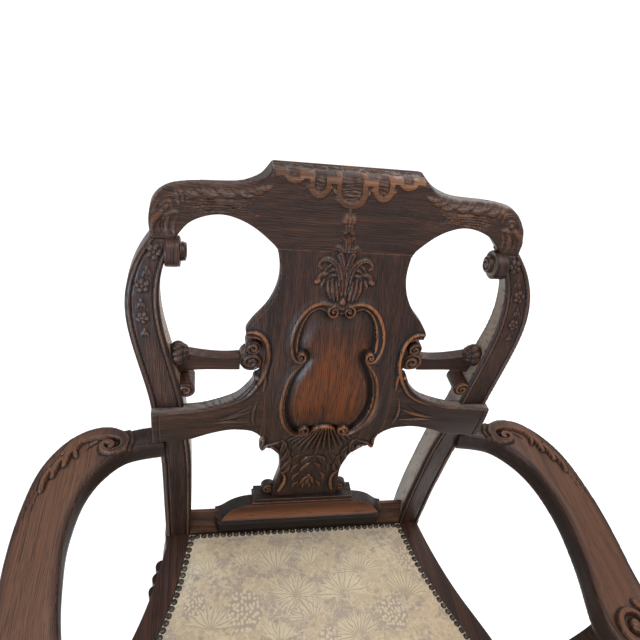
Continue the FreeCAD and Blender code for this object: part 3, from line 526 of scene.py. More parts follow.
def blurred(field, cells):
    """A box blur of a grid, done as running sums along both axes, twice."""
    for _ in range(2):
        for axis in (0, 1):
            padded = np.pad(field, [(cells + 1, cells) if k == axis else (0, 0) for k in (0, 1)],
                            mode="edge")
            total = padded.cumsum(axis)
            size = 2 * cells + 1
            high = np.take(total, np.arange(size, total.shape[axis]), axis)
            low = np.take(total, np.arange(0, total.shape[axis] - size), axis)
            field = (high - low) / size
    return field


print("outline tools ready")

# %% Mesh pieces


def mesh_piece(name, points, faces, material, attributes=None, crease=38.0):
    """A mesh object from arrays in mm. Faces are turned outwards when their volume is negative."""
    points = np.asarray(points, float)
    faces = np.asarray(faces, np.int32)
    corners = points[faces]
    fan = sum(np.einsum("ij,ij->i", corners[:, 0], np.cross(corners[:, k], corners[:, k + 1]))
              for k in range(1, faces.shape[1] - 1))
    if fan.sum() < 0.0:
        faces = faces[:, ::-1]
    mesh = bpy.data.meshes.new(name)
    mesh.vertices.add(len(points))
    mesh.vertices.foreach_set("co", (points * MM).astype(np.float32).ravel())
    mesh.loops.add(faces.size)
    mesh.loops.foreach_set("vertex_index", np.ascontiguousarray(faces).ravel())
    mesh.polygons.add(len(faces))
    mesh.polygons.foreach_set("loop_start",
                              np.arange(0, faces.size, faces.shape[1], dtype=np.int32))
    mesh.update(calc_edges=True)
    for label, values in (attributes or {}).items():
        data = mesh.attributes.new(label, "FLOAT", "POINT")
        data.data.foreach_set("value", np.asarray(values, np.float32))
    mesh.shade_smooth()
    if crease:
        mesh.set_sharp_from_angle(angle=np.radians(crease))
    mesh.materials.append(material)
    piece = bpy.data.objects.new(name, mesh)
    scene.collection.objects.link(piece)
    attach(piece, "root")
    return piece


def tidy_cells(kept):
    """Drops cells with fewer than two kept neighbours and fills where two touch at a corner."""
    for _ in range(3):
        pad = np.pad(kept, 1)
        count = (pad[2:, 1:-1].astype(int) + pad[:-2, 1:-1] + pad[1:-1, 2:] + pad[1:-1, :-2])
        kept = kept & (count >= 2)
        a, b, c, d = kept[:-1, :-1], kept[1:, :-1], kept[:-1, 1:], kept[1:, 1:]
        fill = np.zeros_like(kept)
        fill[1:, :-1] |= a & d & ~b & ~c
        fill[:-1, :-1] |= b & c & ~a & ~d
        kept = kept | fill
    return kept


def board(name, line, pitch, place, thick, material, strokes=(), ground=None,
          front=(2.2, 2.2), back=(2, 2), rows=1, wall=None, shine=None, worn=0.35, tops=(),
          flush=(), flank=None, contrast=1.0, shade=0.0):
    """A carved board: a grid inside an outline, its back, and the wall between them.

    place(a, b, depth) gives x, y, z in mm; depth is positive behind the front face. thick(a, b) is
    the depth of the back. front and back are the reach and depth of the rounded arris, numbers or
    functions of a and b: depth x (1 - sqrt(1 - (1 - distance / reach)^2)). ground(a, b, distance)
    is the height before the strokes. wall(points, share) may shape the rows of the edge. tops are
    strokes whose flat tops are rubbed a little lighter. flush holds runs of points where the board
    meets a neighbour, so that the arris closes there. shine(a, b) and flank(points) say how much of
    the material's warm colour the face and the edge take: painted light on the splat's panel, a
    painted sheen on the stiles' inner sides and painted light on the wings' tops, and rubbed wood
    on the arms. contrast, a number or a function of a and b, below 1 keeps ridges and hollows
    closer in colour. shade is the carve value of the wall; a negative value paints shade on the
    board's sides.
    """
    low, high = line.min(0), line.max(0)
    na, nb = np.ceil((high - low) / pitch).astype(int)
    a, b = np.meshgrid(np.linspace(low[0], high[0], na + 1), np.linspace(low[1], high[1], nb + 1),
                       indexing="ij")
    mid_a = 0.25 * (a[1:, 1:] + a[:-1, 1:] + a[1:, :-1] + a[:-1, :-1])
    mid_b = 0.25 * (b[1:, 1:] + b[:-1, 1:] + b[1:, :-1] + b[:-1, :-1])
    kept = tidy_cells(inside(line, mid_a, mid_b))
    around = np.pad(kept, 1).astype(int)
    count = around[1:, 1:] + around[:-1, 1:] + around[1:, :-1] + around[:-1, :-1]
    used, rim = count > 0, (count > 0) & (count < 4)
    away = np.zeros(a.shape)
    gap, spot = nearest(line, a[used], b[used])
    away[used] = gap
    on_rim = rim[used]
    away[rim] = 0.0
    a[rim], b[rim] = spot[on_rim, 0], spot[on_rim, 1]
    height = ground(a, b, away) if ground else np.zeros(a.shape)
    carve(height, a, b, strokes)
    broad = height - blurred(height, max(2, int(round(3.0 / pitch))))
    narrow = height - blurred(height, 1)
    meeting = np.zeros(a.shape)
    for run in flush:
        run = smooth(run, 1.0)[:, :2] if len(run) > 1 else np.array(run, float)
        gap = np.hypot(a[used][:, None] - run[:, 0], b[used][:, None] - run[:, 1]).min(1)
        meeting[used] = np.maximum(meeting[used], np.clip(1.6 - gap / 2.4, 0.0, 1.0))
    edge = np.clip(1.0 - away / 1.4, 0.0, 1.0) * (1.0 - meeting)
    shown = np.clip(broad / 2.2 + narrow / 0.8, -1.0, 1.0) + worn * edge
    shown *= contrast(a, b) if callable(contrast) else contrast
    if tops:
        level_top = np.clip(carve(np.zeros(a.shape), a, b, tops), 0.0, 1.0)
        shown = np.maximum(np.minimum(shown, 0.6), 0.74 * level_top)

    def fallen(reach_depth):
        reach, depth = [f(a, b) if callable(f) else f for f in reach_depth]
        share = np.clip(1.0 - away / reach, 0.0, 1.0)
        return depth * (1.0 - np.sqrt(np.clip(1.0 - share ** 2, 0.0, 1.0))) * (1.0 - 0.94 * meeting)

    number = -np.ones(a.shape, int)
    number[used] = np.arange(used.sum())
    n00, n10, n11, n01 = number[:-1, :-1], number[1:, :-1], number[1:, 1:], number[:-1, 1:]
    front_faces = np.stack([n00[kept], n10[kept], n11[kept], n01[kept]], 1)
    ends = []
    padded = np.pad(kept, 1)
    for first, second, outside in ((n00, n10, padded[1:-1, :-2]), (n10, n11, padded[2:, 1:-1]),
                                   (n11, n01, padded[1:-1, 2:]), (n01, n00, padded[:-2, 1:-1])):
        free = kept & ~outside
        ends.append(np.stack([first[free], second[free]], 1))
    ends = np.concatenate(ends)
    total = int(used.sum())
    ua, ub = a[used], b[used]
    front_points = place(ua, ub, (fallen(front) - height)[used])
    deep_end = (thick(a, b) * np.ones(a.shape) - fallen(back))[used]
    back_points = place(ua, ub, deep_end)
    points, shown_all = [front_points, back_points], [shown[used], worn * edge[used]]
    rim_numbers = number[rim]
    row_of = -np.ones(total, int)
    row_of[rim_numbers] = np.arange(len(rim_numbers))
    levels = [np.arange(total)]
    for r in range(1, rows):
        share = r / rows
        row = front_points[rim_numbers] * (1 - share) + back_points[rim_numbers] * share
        if wall:
            row = wall(row, share)
        level = np.full(total, -1)
        level[rim_numbers] = 2 * total + (r - 1) * len(rim_numbers) + np.arange(len(rim_numbers))
        levels.append(level)
        points.append(row)
        shown_all.append(np.full(len(rim_numbers), shade))
    levels.append(np.arange(total) + total)
    walls = [np.stack([upper[ends[:, 1]], upper[ends[:, 0]], lower[ends[:, 0]], lower[ends[:, 1]]],
                      1) for upper, lower in zip(levels[:-1], levels[1:])]
    faces = np.concatenate([front_faces, front_faces[:, ::-1] + total] + walls)
    points = np.concatenate(points)
    attributes = {"carve": np.concatenate(shown_all)}
    if shine or flank:
        wear_and_light = np.zeros(len(points))
        wear_and_light[:total] = shine(ua, ub) if shine else 0.0
        wear_and_light[2 * total:] = flank(points[2 * total:]) if flank else 0.0
        attributes["wear_and_light"] = wear_and_light
    piece = mesh_piece(name, points, faces, material, attributes)
    print(name, len(faces), "quads, relief", round(float(height[used].min()), 1), "to",
          round(float(height[used].max()), 1), "mm")
    return piece

# %% [markdown]
# ## The curve of the back
# Seen from the side, the back leans away, hollows at the small of the sitter's back and rolls over
# at the top. All its boards follow one curve, given as how far back the face is at each height.

# %% The curve of the back
SEAT, BACK, HALF = 450.0, 600.0, 227.0
BACK_SHARES = np.array([0.0, 0.13, 0.25, 0.38, 0.52, 0.68, 0.80, 0.90, 1.0])
BACK_PLACES = np.array([10.0, 19.0, 13.5, 0.0, -9.0, 7.0, 30.0, 55.5, 82.0])


def through(knots, values, at):
    """Cubic Hermite curve with slopes from the neighbouring points."""
    slope = np.gradient(values, knots)
    slope[1:-1] = (values[2:] - values[:-2]) / (knots[2:] - knots[:-2])
    slope[0] = (values[1] - values[0]) / (knots[1] - knots[0])
    slope[-1] = (values[-1] - values[-2]) / (knots[-1] - knots[-2])
    k = np.clip(np.searchsorted(knots, at, side="right") - 1, 0, len(knots) - 2)
    h = knots[k + 1] - knots[k]
    t = np.clip((at - knots[k]) / h, 0.0, 1.0)
    return ((2 * t ** 3 - 3 * t ** 2 + 1) * values[k] + (t ** 3 - 2 * t ** 2 + t) * h * slope[k]
            + (3 * t ** 2 - 2 * t ** 3) * values[k + 1] + (t ** 3 - t ** 2) * h * slope[k + 1])


def face_of_back(z):
    """Depth of the back's front face at a height, in the frame's y."""
    return FABRIC_REAR + through(BACK_SHARES, BACK_PLACES, (z - SEAT) / BACK)


def one(curve, at):
    """A curve's value at one place."""
    return float(curve(np.array([at]))[0])


def outline(shares):
    """Front view points from shares of half width and of height."""
    return [(x * HALF, SEAT + z * BACK) for x, z in shares]


def flipped(points):
    """The mirror image of a run, walked the other way."""
    return [(-p[0], p[1]) for p in reversed(points)]


print("back face at the seat and the top", face_of_back(np.array([SEAT, SEAT + BACK])).round(1))

# %% [markdown]
# ## The crest rail
# The top board is sawn to a front outline and shaped to a rolled top, where a sitter's hand grips
# it. A flat fret of straps runs along the roll, a tassel hangs from its middle, and leaves curl
# over the shoulders and end in a bird's head on each stile. The front is one height field; the roll
# is the curve that the board's face follows near its top.

# %% Crest outline and section
CREST_TOP = outline([(0.407, 1), (0.432, 0.990), (0.464, 0.981), (0.508, 0.974), (0.565, 0.969),
                     (0.640, 0.967), (0.800, 0.966), (0.863, 0.963), (0.922, 0.957),
                     (0.963, 0.946), (0.989, 0.931), (1, 0.912), (0.998, 0.892), (0.987, 0.875)])
CREST_ARCH = outline([(0.877, 0.875), (0.855, 0.885), (0.819, 0.900), (0.762, 0.912),
                      (0.705, 0.918), (0.652, 0.920), (0.586, 0.916), (0.520, 0.907),
                      (0.463, 0.895), (0.366, 0.867)])
CREST_FOOT = [(-CREST_ARCH[-1][0], CREST_ARCH[-1][1]), CREST_ARCH[-1]]
crest_line = closed(CREST_TOP, CREST_ARCH, flipped(CREST_ARCH), flipped(CREST_TOP))
LIP, ROLL, THICK = SEAT + 0.985 * BACK, 38.0, 30.0
NOSE = one(face_of_back, LIP)
BACK_Z = np.array([960.0, 970.0, 996.0, 1017.0, 1034.8, 1044.3, 1050.0])
BACK_Y = np.concatenate([face_of_back(BACK_Z[:3]) + THICK,
                         face_of_back(BACK_Z[3:4]) + 1.15 * THICK,
                         NOSE + ROLL * np.array([1.10, 1.14, 1.0])])
NAPE = one(face_of_back, 1026.0)


def crest_face(z):
    """The back's curve, then a quarter ellipse from the lip to the top."""
    up = np.clip((z - LIP) / (SEAT + BACK - LIP), 0.0, 1.0)
    return face_of_back(np.minimum(z, LIP)) + 0.4 * ROLL * (1.0 - np.sqrt(1.0 - up ** 2))


def crest_place(x, z, depth):
    """A crest point at a depth behind the face."""
    return np.stack([x, crest_face(z) + depth, z], -1)


def crest_thick(x, z):
    """The back of the board: its own curve, cut nearer on the shoulders."""
    shoulder = NAPE + THICK * np.interp(np.abs(x), [77, 91, 104, 123, 154, 200, 234],
                                        [1.9, 1.45, 1.06, 0.86, 0.76, 0.64, 0.42])
    rear = np.interp(z, BACK_Z, BACK_Y)
    return np.minimum(rear, np.maximum(shoulder, crest_face(z) + 12.0)) - crest_face(z)


def rough(x, z, seed, long=9.0, across=1.6):
    """Even wandering ridges: sines of different lengths that bend one another."""
    u, v = x / long, z / across
    drift = np.sin(0.7 * u + 1.3 * seed) + 0.6 * np.sin(1.9 * u - 0.4 * v + seed)
    return 0.5 * np.sin(2.2 * v + 1.7 * drift) + 0.3 * np.sin(3.7 * v - 1.1 * drift + 2.0 * u)


print("crest outline", len(crest_line), "points")

# %% Crest strokes
FRET = [
    band([(0, 1020.2), (8.5, 1022), (14, 1027), (15.8, 1033)], 4, 2.4),
    strap([(15.8, 1033), (15.8, 1042), (15.8, 1049.5)], 3.7, 2.4),
    strap([(19.8, 1033.4), (20.4, 1033.4)], 1.9, 2.4),
    strap([(17, 1045), (22, 1045), (28, 1045)], 3.6, 2.4),
    strap([(28.4, 1044), (28.4, 1040), (28.4, 1037)], 3.6, 2.4),
    strap([(24.6, 1037.2), (25.2, 1037.2)], 1.8, 2.4),
    band([(28.6, 1036), (32.2, 1031), (38, 1029.2), (43.8, 1031), (47.2, 1036)], 3.6, 2.4),
    strap([(47.6, 1037), (47.6, 1043), (47.6, 1049.5)], 3.6, 2.4),
    strap([(51.6, 1037.6), (52.2, 1037.6)], 1.8, 2.4),
    strap([(48, 1047.6), (53, 1047.6), (59, 1047.6)], 3.2, 2.4),
    band([(58.6, 1047), (61.4, 1043.8), (67.5, 1042.4), (73.8, 1043.8), (77.2, 1047)], 3.2, 2.4),
    strap([(78, 1048.4), (83, 1048.2), (88, 1047.8)], 2.5, 2.2),
]
TASSEL = [ridge([(0, 1017), (0, 1010)], 1.7, 2.6), dome([(-3.6, 1005), (3.6, 1005)], 5.6, 4.2),
          *twin([gouge([(-2.4, 1009), (-2.4, 1001)], 1, 1.6)])]
TASSEL += [ridge([(1.45 * i, 999.2), (2.1 * i, 991), (2.9 * i, 981.5)], [0.8, 1, 1.2],
                 [2.4, 3.4, 3]) for i in range(-3, 4)]
PLUME_TOP = [leaf([(0, 988.5), (0.3, 980), (0, 970), (0, 962)], [1.4, 4.4, 5.4, 3.4],
                  [1.6, 3.6, 3.8, 2.8])]
PLUME_TOP += twin([leaf([(3.4, 961), (7, 971), (12.6, 974.4), (16, 971.6)], [3, 4.4, 3.2, 1.6],
                        [2.6, 3.4, 2.8, 1.4])])


def lobe(tip, body, shoulder, wide, rise=2.6):
    """A comma of acanthus: a fine tip towards the middle, a full body, a stem over the top edge."""
    vein = [(0.7 * tip[0] + 0.3 * body[0], 0.7 * tip[1] + 0.3 * body[1] + 0.4), body,
            (0.4 * body[0] + 0.6 * shoulder[0], 0.4 * body[1] + 0.6 * shoulder[1])]
    return [ridge([tip, body, shoulder], [0.5, wide, 0.75 * wide, 0.5 * wide],
                  [0.8, rise, rise, 1.4]), gouge(vein, [0.4, 0.8, 0.4], 1)]


SHOULDER = []
for tip, body, shoulder, wide in (
        ((122, 1027.4), (130, 1026.4), (139, 1031), 3.0),
        ((133, 1022.6), (142.5, 1023), (152, 1030.6), 3.4),
        ((143.5, 1026.2), (150.5, 1026), (158, 1031.4), 2.4),
        ((153, 1021.4), (163, 1022.4), (172, 1030.4), 3.6),
        ((165.5, 1025.6), (172, 1025.4), (179.5, 1030.4), 2.4),
        ((173, 1020), (183.5, 1021.4), (191, 1028.8), 3.6),
        ((92, 1034.4), (101, 1031.4), (112, 1033), 2.6),
        ((99, 1029), (110, 1027.2), (121, 1030.4), 2.8),
        ((112, 1024.2), (121, 1023), (130, 1026), 2.2)):
    SHOULDER += lobe(tip, body, shoulder, wide)
SHOULDER += [
    ridge([(189, 1014.5), (191, 1020.5), (198, 1026.6), (208, 1027.6), (217, 1022), (223, 1012)],
          [0.8, 3.2, 4.2, 4.2, 3.6, 2.4], [1, 2.8, 3.4, 3.4, 3, 1.8]),
    gouge([(192, 1019), (199.5, 1024), (208, 1024.6), (216, 1018.5)], [0.5, 1, 1, 0.5], 1.5),
    leaf([(194, 1011), (196, 1017.5), (203, 1020.6), (211, 1017.6)], [1, 2.6, 2.8, 0.8],
         [1, 2.4, 2.2, 0.6]),
    leaf([(212, 1019), (218, 1014), (220.6, 1005), (219, 996)], [0.8, 2.4, 2.6, 0.9],
         [0.8, 2.2, 2, 0.6]),
    ridge([(201.6, 1009), (204.6, 1013.4), (209.6, 1013.6), (213.4, 1009.6)], [0.8, 1.5, 1.5, 0.8],
          [1, 2, 2, 1]),
    dome([(208, 1008.2)], 3.6, 3),
    gouge([(207.6, 1008.2), (208.4, 1008.2)], 1.1, 1.4),
    ridge([(196, 1002.6), (203, 1003), (209, 1000.8)], [1.4, 3, 1.6], [1.4, 2.8, 1.4]),
    ridge([(214, 1002), (220.4, 996), (223, 988), (221.4, 980.5)], [3.6, 4.2, 3.2, 1],
          [2.6, 3.8, 3.2, 1.2]),
    ridge([(205, 999), (207.6, 992), (206.6, 984), (203, 978.6)], [1.6, 3, 2.6, 1.2],
          [1.6, 2.8, 2.4, 1]),
    gouge([(212.4, 996), (213, 989), (212.4, 981)], [1, 2.6, 1.4], [1.2, 3, 1.6]),
    ridge([(197, 998), (199.5, 990), (198, 981)], [1.2, 2.2, 1], [1, 1.9, 0.8]),
]
SHOULDER += [gouge([(194 + 4.4 * i, 1016 + 2.2 * i - 0.44 * i * i),
                    (190.5 + 5.4 * i, 1022 + 2 * i - 0.40 * i * i)], [0.9, 0.5], [1.3, 0.5])
             for i in range(7)]
STREAKS = [gouge([(100 + 2.5 * i, 1026 - 3 * i), (124 + 2 * i, 1018.4 - 1.9 * i + 0.9 * (i % 2)),
                  (150, 1017.6 - 2 * i), (174 - i, 1016.2 - 1.9 * i - 0.9 * (i % 3)),
                  (193 - 1.2 * i, 1012 - 2.3 * i)], [0.5, 0.95, 1, 0.6], [0.5, 1.3, 1.3, 0.5])
           for i in range(8)]
STREAKS += [ridge([(108 + 4 * i, 1022.6 - 3.3 * i), (130 + 2 * i, 1016.6 - 2.6 * i),
                   (152 - i, 1016.4 - 2.8 * i), (172 - 3 * i, 1015.4 - 2.7 * i)],
                  [0.5, 1, 1.1, 0.5], [0.4, 0.9, 1, 0.3]) for i in range(5)]
SHORT = [gouge([(104 + 13.7 * k % 84, 1004 + 7.3 * k % 15),
                (112 + 13.7 * k % 84, 1004.8 + 7.3 * k % 15 - 0.5 * (k % 4))], [0.4, 0.8, 0.3],
               0.9) for k in range(26)]
crest_strokes = TASSEL + PLUME_TOP + twin(FRET + SHOULDER + STREAKS + SHORT)
print("crest strokes", len(crest_strokes))

# %% Crest board


LID_X = [0, 9, 14, 15.8, 28, 30, 38, 46, 48, 58, 61, 67.5, 74, 78, 90]
LID_Z = [1020, 1022, 1028, 1043, 1044, 1033, 1029.5, 1033, 1047, 1047, 1043.5, 1042.5, 1044, 1048,
         1048]


def crest_ground(x, z, away):
    """Flat, with bark tooling on the roll above the straps, and faintly over the face."""
    top = (np.clip((z - np.interp(np.abs(x), LID_X, LID_Z)) / 2.0, 0.0, 1.0)
           * np.clip((93.0 - np.abs(x)) / 4.0, 0.0, 1.0))
    return 1.5 * top * rough(x, z, 3.0, 8.0, 1.25) + 0.12 * rough(x, z, 1.0, 16.0, 1.1) - 0.5 * top


def crest_wall(row, share):
    """Tooling on the level top of the roll."""
    top = (row[:, 2] > 1046.0) & (np.abs(row[:, 0]) < 91.0)
    lift = rough(row[:, 0], 1.4 * row[:, 1], 5.0) * np.sin(np.pi * share)
    row = row.copy()
    row[:, 2] -= np.where(top, 0.9 - 0.9 * lift, 0.0)
    return row


def shoulder_reach(x, z):
    """The arris is broad on top of the shoulders and small elsewhere."""
    outward = np.clip((np.abs(x) - 98.0) / 14.0, 0.0, 1.0)
    return 2.0 + 6.5 * outward * np.clip((z - 1004.0) / 10.0, 0.0, 1.0)


DULL = colour(122, 78, 50)
carved_x = oak("carved_oak_across", DEEP, MID, DULL, ALONG_X, carved=True)
crest = board("carved_crest", crest_line, 1.15, crest_place, crest_thick, carved_x,
              crest_strokes, crest_ground, front=(shoulder_reach, shoulder_reach), back=(4.0, 4.0),
              rows=14, wall=crest_wall, tops=twin(FRET) + TASSEL[:2], flush=[CREST_FOOT])
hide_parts("crest_rail")

# %% [markdown]
# ## The centre board
# The splat is one board, sawn to a vase outline. A C-scroll frame holds a cushion painted brighter
# as painted light, a plume grows from its top, a shell and leaves hang below it. The ground inside
# the frame is cut away next to the ridge and swells again towards the middle, which with the
# painted light makes the panel glow.

# %% Splat outline
WAIST = outline([(0.366, 0.867), (0.346, 0.832), (0.346, 0.815), (0.357, 0.793), (0.383, 0.770),
                 (0.419, 0.750), (0.463, 0.732), (0.493, 0.717), (0.507, 0.705), (0.498, 0.693)])
NOTCH = outline([(0.498, 0.693), (0.432, 0.685), (0.396, 0.667), (0.388, 0.642), (0.401, 0.620),
                 (0.445, 0.603)])
SEAM = outline([(0.445, 0.603), (0.379, 0.545)])
JOINT = outline([(0.379, 0.545), (0.379, 0.422)])
LOW_SCROLL = outline([(0.379, 0.422), (0.363, 0.410), (0.370, 0.383), (0.361, 0.365),
                      (0.348, 0.362)])
NECK = outline([(0.348, 0.362), (0.330, 0.369), (0.304, 0.371), (0.278, 0.363), (0.251, 0.345),
                (0.231, 0.322), (0.220, 0.293), (0.211, 0.267), (0.211, 0.242), (0.220, 0.208),
                (0.229, 0.175), (0.229, 81.0 / 600.0)])
right_side = [WAIST, NOTCH, SEAM, JOINT, LOW_SCROLL, NECK]
splat_line = closed(*right_side, *[flipped(run) for run in reversed(right_side)])
print("splat outline", len(splat_line), "points")

# %% Splat strokes
FRAME_TOP = [(11, 909.5), (19, 911.8), (28, 912), (42, 905), (52.5, 890.5), (58, 873),
             (58.5, 857), (55.5, 844), (49.5, 836.6), (44.5, 835.6)]
FRAME_LOW = [(41.5, 834.5), (51, 823.5), (58.5, 809), (63, 790), (64.5, 770), (62, 750),
             (56.5, 731), (47, 714.5), (37, 706), (29, 705.2)]
cartouche = closed([(0, 906), (14, 908)], FRAME_TOP[2:], FRAME_LOW[1:], [(29, 705.2), (0, 716)],
                   [(0, 716), (-29, 705.2)], flipped(FRAME_LOW[1:]), flipped(FRAME_TOP[2:]),
                   [(-14, 908), (0, 906)])
FRAME = [
    ridge(FRAME_TOP, [1.8, 2.7, 2.9, 2.8, 2.6, 2.4, 2.2, 1.9], [3, 4, 4.2, 4.2, 4.2, 4, 3.4]),
    ridge(FRAME_LOW, [1.8, 2.4, 2.7, 2.8, 2.8, 2.6, 2.4, 1.9], [2.6, 3.8, 4.2, 4.2, 4.2, 4, 3.4]),
    ridge(spiral(9.6, 902, 7.8, 1.45, 90, -1), [2.2, 1.9, 1.5, 1.2], [3.8, 3.8, 3.4]),
    dome([(9.6, 902)], 2.2, 3.6),
    ridge(spiral(45.2, 842.2, 6.9, 1.3, 270, -1), [2.3, 1.9, 1.5, 1.2], [3.8, 3.8, 3.4]),
    dome([(45.2, 842.2)], 2.2, 3.8),
    ridge([(x, 719 + 1.15 * (z - 719)) for x, z in spiral(28.6, 719, 8.8, 1.3, 290, -1)],
          [2.6, 2.2, 1.8, 1.4], [5.6, 6.2, 6]),
    dome([(28.6, 717.6), (28.6, 720.6)], 2.6, 6.2),
]
PLUME = [
    dome([(0, 914.2)], 4.8, 4.4),
    leaf([(2.6, 921), (4.4, 933), (6, 944), (9.6, 953.5), (16, 959.6), (23.5, 962.2), (30, 960),
          (32.6, 954.6), (29.6, 951.8)], [1.6, 3, 3.8, 4.4, 4.2, 3.4, 2.6, 2.2, 1.4],
         [2, 3.2, 3.8, 4.2, 4, 3.6, 3.2, 2.8, 1.8]),
    ridge([(10, 948.6), (15.4, 950.6), (21, 947.4)], [1, 2, 0.9], [1.2, 2.4, 0.8]),
    ridge([(9.4, 943.4), (15, 944.4), (20.5, 940.8)], [1, 1.9, 0.9], [1.2, 2.2, 0.8]),
    ridge([(17, 956), (22, 953.4), (25.4, 948.8)], [0.9, 1.7, 0.8], [1.2, 2, 0.8]),
    leaf([(20, 944.6), (26.5, 945.6), (32, 942.4), (34.6, 937.6)], [1.2, 2.4, 2.6, 1.8],
         [1.4, 2.8, 3, 2]),
    dome([(32.2, 938.6), (34.6, 937.2)], 3.5, 3.8),
    ridge([(25.4, 938.6), (27.8, 934), (27.6, 930)], [1.4, 2, 1], [1.8, 2.2, 1]),
    ridge([(7.2, 917), (8.6, 925), (10.2, 936)], [2, 2.9, 1.4], [3, 3.8, 2]),
    ridge([(11.6, 916.6), (13.8, 926), (15.4, 939.5)], [2, 3.2, 1.5], [3.2, 4.4, 2.2]),
    ridge([(15.8, 918.2), (19, 927), (20.6, 937.6)], [2, 2.9, 1.4], [2.8, 3.8, 2]),
    ridge([(2, 948), (1.8, 938), (1.4, 922)], [2.2, 1.9, 1], [2.6, 2.4, 1.4]),
    leaf([(1, 950), (4.4, 959), (7.6, 967.5)], [2.2, 4, 4.2], [2.4, 3.4, 3.4]),
    gouge([(5.4, 941), (4, 931), (3.2, 924)], [0.6, 1.4, 0.8], [1, 1.6, 1]),
]
SHELL = []
for k in range(-6, 7):
    turn = np.radians(6.2 * k)
    far = (98.0, 90.0, 94.0, 84.0, 86.0, 76.0, 74.0)[abs(k)]
    near = (26.0, 26.0, 27.0, 29.0, 33.0, 42.0, 52.0)[abs(k)]
    spots = [(r * np.sin(turn), 751.0 - r * np.cos(turn))
             for r in (near, 0.6 * near + 0.4 * far, 0.85 * far, far)]
    SHELL.append(ridge(spots, [1.5, 1.5, 1.7, 1.3], [5, 4, 2.8, 1]))
    if k > -6:
        turn = np.radians(6.2 * (k - 0.5))
        SHELL.append(gouge([(r * np.sin(turn), 751 - r * np.cos(turn))
                            for r in (27 + 4 * max(0, abs(k) - 3), 50, 0.84 * far)], [0.6, 1, 1.1],
                           [1.6, 1.6, 0.6]))
LEAVES = [
    leaf([(3.2, 646), (9.4, 641.6), (14, 634), (16.6, 623.6)], [1, 5, 4.8, 0.9],
         [1.2, 4, 3.6, 0.9]),
    leaf([(2.2, 627.4), (7.4, 620.8), (12, 612), (15.4, 601.6)], [1, 3.8, 3.8, 0.9],
         [1.2, 3.4, 3, 0.8]),
    ridge([(0.6, 657), (1.4, 648), (3.2, 636)], [0.8, 1.3, 0.7], [1, 2, 0.9]),
    dome([(0, 589)], 2.6, 2),
    leaf([(0.8, 586), (4.8, 581), (7.8, 572), (10.4, 563)], [1.2, 2.8, 2.8, 0.8],
         [1.6, 2.4, 2, 0.6]),
    ridge([(0.6, 584), (1.2, 574), (0.8, 560)], [1, 1.7, 0.9], [1.2, 1.8, 0.7]),
    leaf([(3, 568), (5.2, 561), (5, 552)], [0.8, 2.2, 0.8], [0.8, 1.8, 0.6]),
    leaf([(22, 652), (28.6, 643), (30.6, 630)], [0.9, 3.6, 0.9], [0.7, 1.6, 0.6]),
    leaf([(21, 622), (27, 612), (28, 599)], [0.9, 3.4, 0.9], [0.7, 1.5, 0.6]),
    leaf([(16.6, 596), (22.6, 587), (24, 575)], [0.9, 3.2, 0.9], [0.7, 1.4, 0.6]),
    leaf([(14, 570), (20, 563), (21.6, 553)], [0.9, 2.8, 0.9], [0.6, 1.3, 0.5]),
]
EDGES = [
    leaf([(73, 675), (67, 673.5), (60, 666.5), (55, 655)], [1.6, 4, 4.6, 1.6], [1.8, 4, 4, 1.4]),
    leaf([(53.6, 692), (49.6, 681), (50.8, 668), (51.8, 655)], [1.4, 4.4, 4.4, 1.6],
         [1.6, 4.2, 4, 1.4]),
    leaf([(44.6, 671), (41.6, 658), (44.6, 645), (48.4, 634)], [1.4, 4, 4, 1.6],
         [1.6, 4, 3.8, 1.4]),
    leaf([(37.6, 648), (35.8, 635), (40, 622), (45.4, 609)], [1.2, 3.8, 4.2, 1.6],
         [1.4, 3.6, 3.8, 1.4]),
    leaf([(34, 622), (35.6, 609), (41, 598)], [1.1, 3.4, 1.5], [1.2, 3.2, 1.3]),
    ridge([(44.6, 600), (38.6, 591), (36.4, 578), (38.4, 563), (42.6, 548)],
          [1, 1.9, 2.8, 3.2, 2.6], [1.6, 3, 3.8, 4, 3]),
    gouge([(41.6, 588), (41, 576), (43.6, 562)], [0.7, 1.3, 0.8], [0.8, 1.6, 0.8]),
    ridge([(80.5, 671), (76, 677), (70.5, 681), (61, 685), (54, 690)], [2.6, 2.4, 2, 1.8, 1.2],
          [3.4, 3, 2.4, 1.8, 0.8]),
    dome([(79.5, 672.5)], 4.8, 3.8),
    ridge([(82, 703), (79.5, 694), (79.6, 684), (82, 676)], [1.6, 2.2, 2.2, 1.6],
          [1.8, 2.8, 2.8, 2]),
]
SIDE_C = [
    ridge([(114.5, 874), (105.6, 874.6), (95, 870.4), (88.6, 860.6), (85.6, 844), (87.4, 825),
           (93.4, 808), (100, 796)], [1.4, 2.2, 2.7, 2.8, 2.7, 2.6, 2.5, 2.4],
          [2, 3.4, 4, 4.2, 4, 3.6, 3.2, 2.6]),
    ridge([(90, 822), (87.6, 806), (88.4, 792)], [2.6, 2.2, 1], [3, 2, 0.8]),
    gouge([(83.4, 852), (81.4, 838), (83, 822), (84.4, 806)], [1, 1.8, 1.6, 0.8],
          [0.6, 1.1, 1, 0.4]),
]
splat_strokes = SHELL + twin(FRAME + PLUME + LEAVES + EDGES + SIDE_C) + twin(
    [ridge([(0, 726.5), (-9, 725), (-15, 719.5)], [2.6, 2.4, 1.6], [4.4, 4.2, 3])])
print("splat strokes", len(splat_strokes))

# %% Splat board


def frame_depth(x, z):
    """Distance inside the C-scroll frame and distance outside it, each 0 where it doesn't apply."""
    flat_x, flat_z = x.reshape(-1), z.reshape(-1)
    close = np.nonzero((np.abs(flat_x) < 80.0) & (flat_z > 695.0) & (flat_z < 925.0))[0]
    held = inside(cartouche, flat_x[close], flat_z[close])
    away = nearest(cartouche, flat_x[close], flat_z[close])[0]
    depth, beyond = np.zeros(flat_x.shape), np.full(flat_x.shape, 99.0)
    depth[close], beyond[close] = np.where(held, away, 0.0), np.where(held, 0.0, away)
    return depth.reshape(x.shape), beyond.reshape(x.shape)


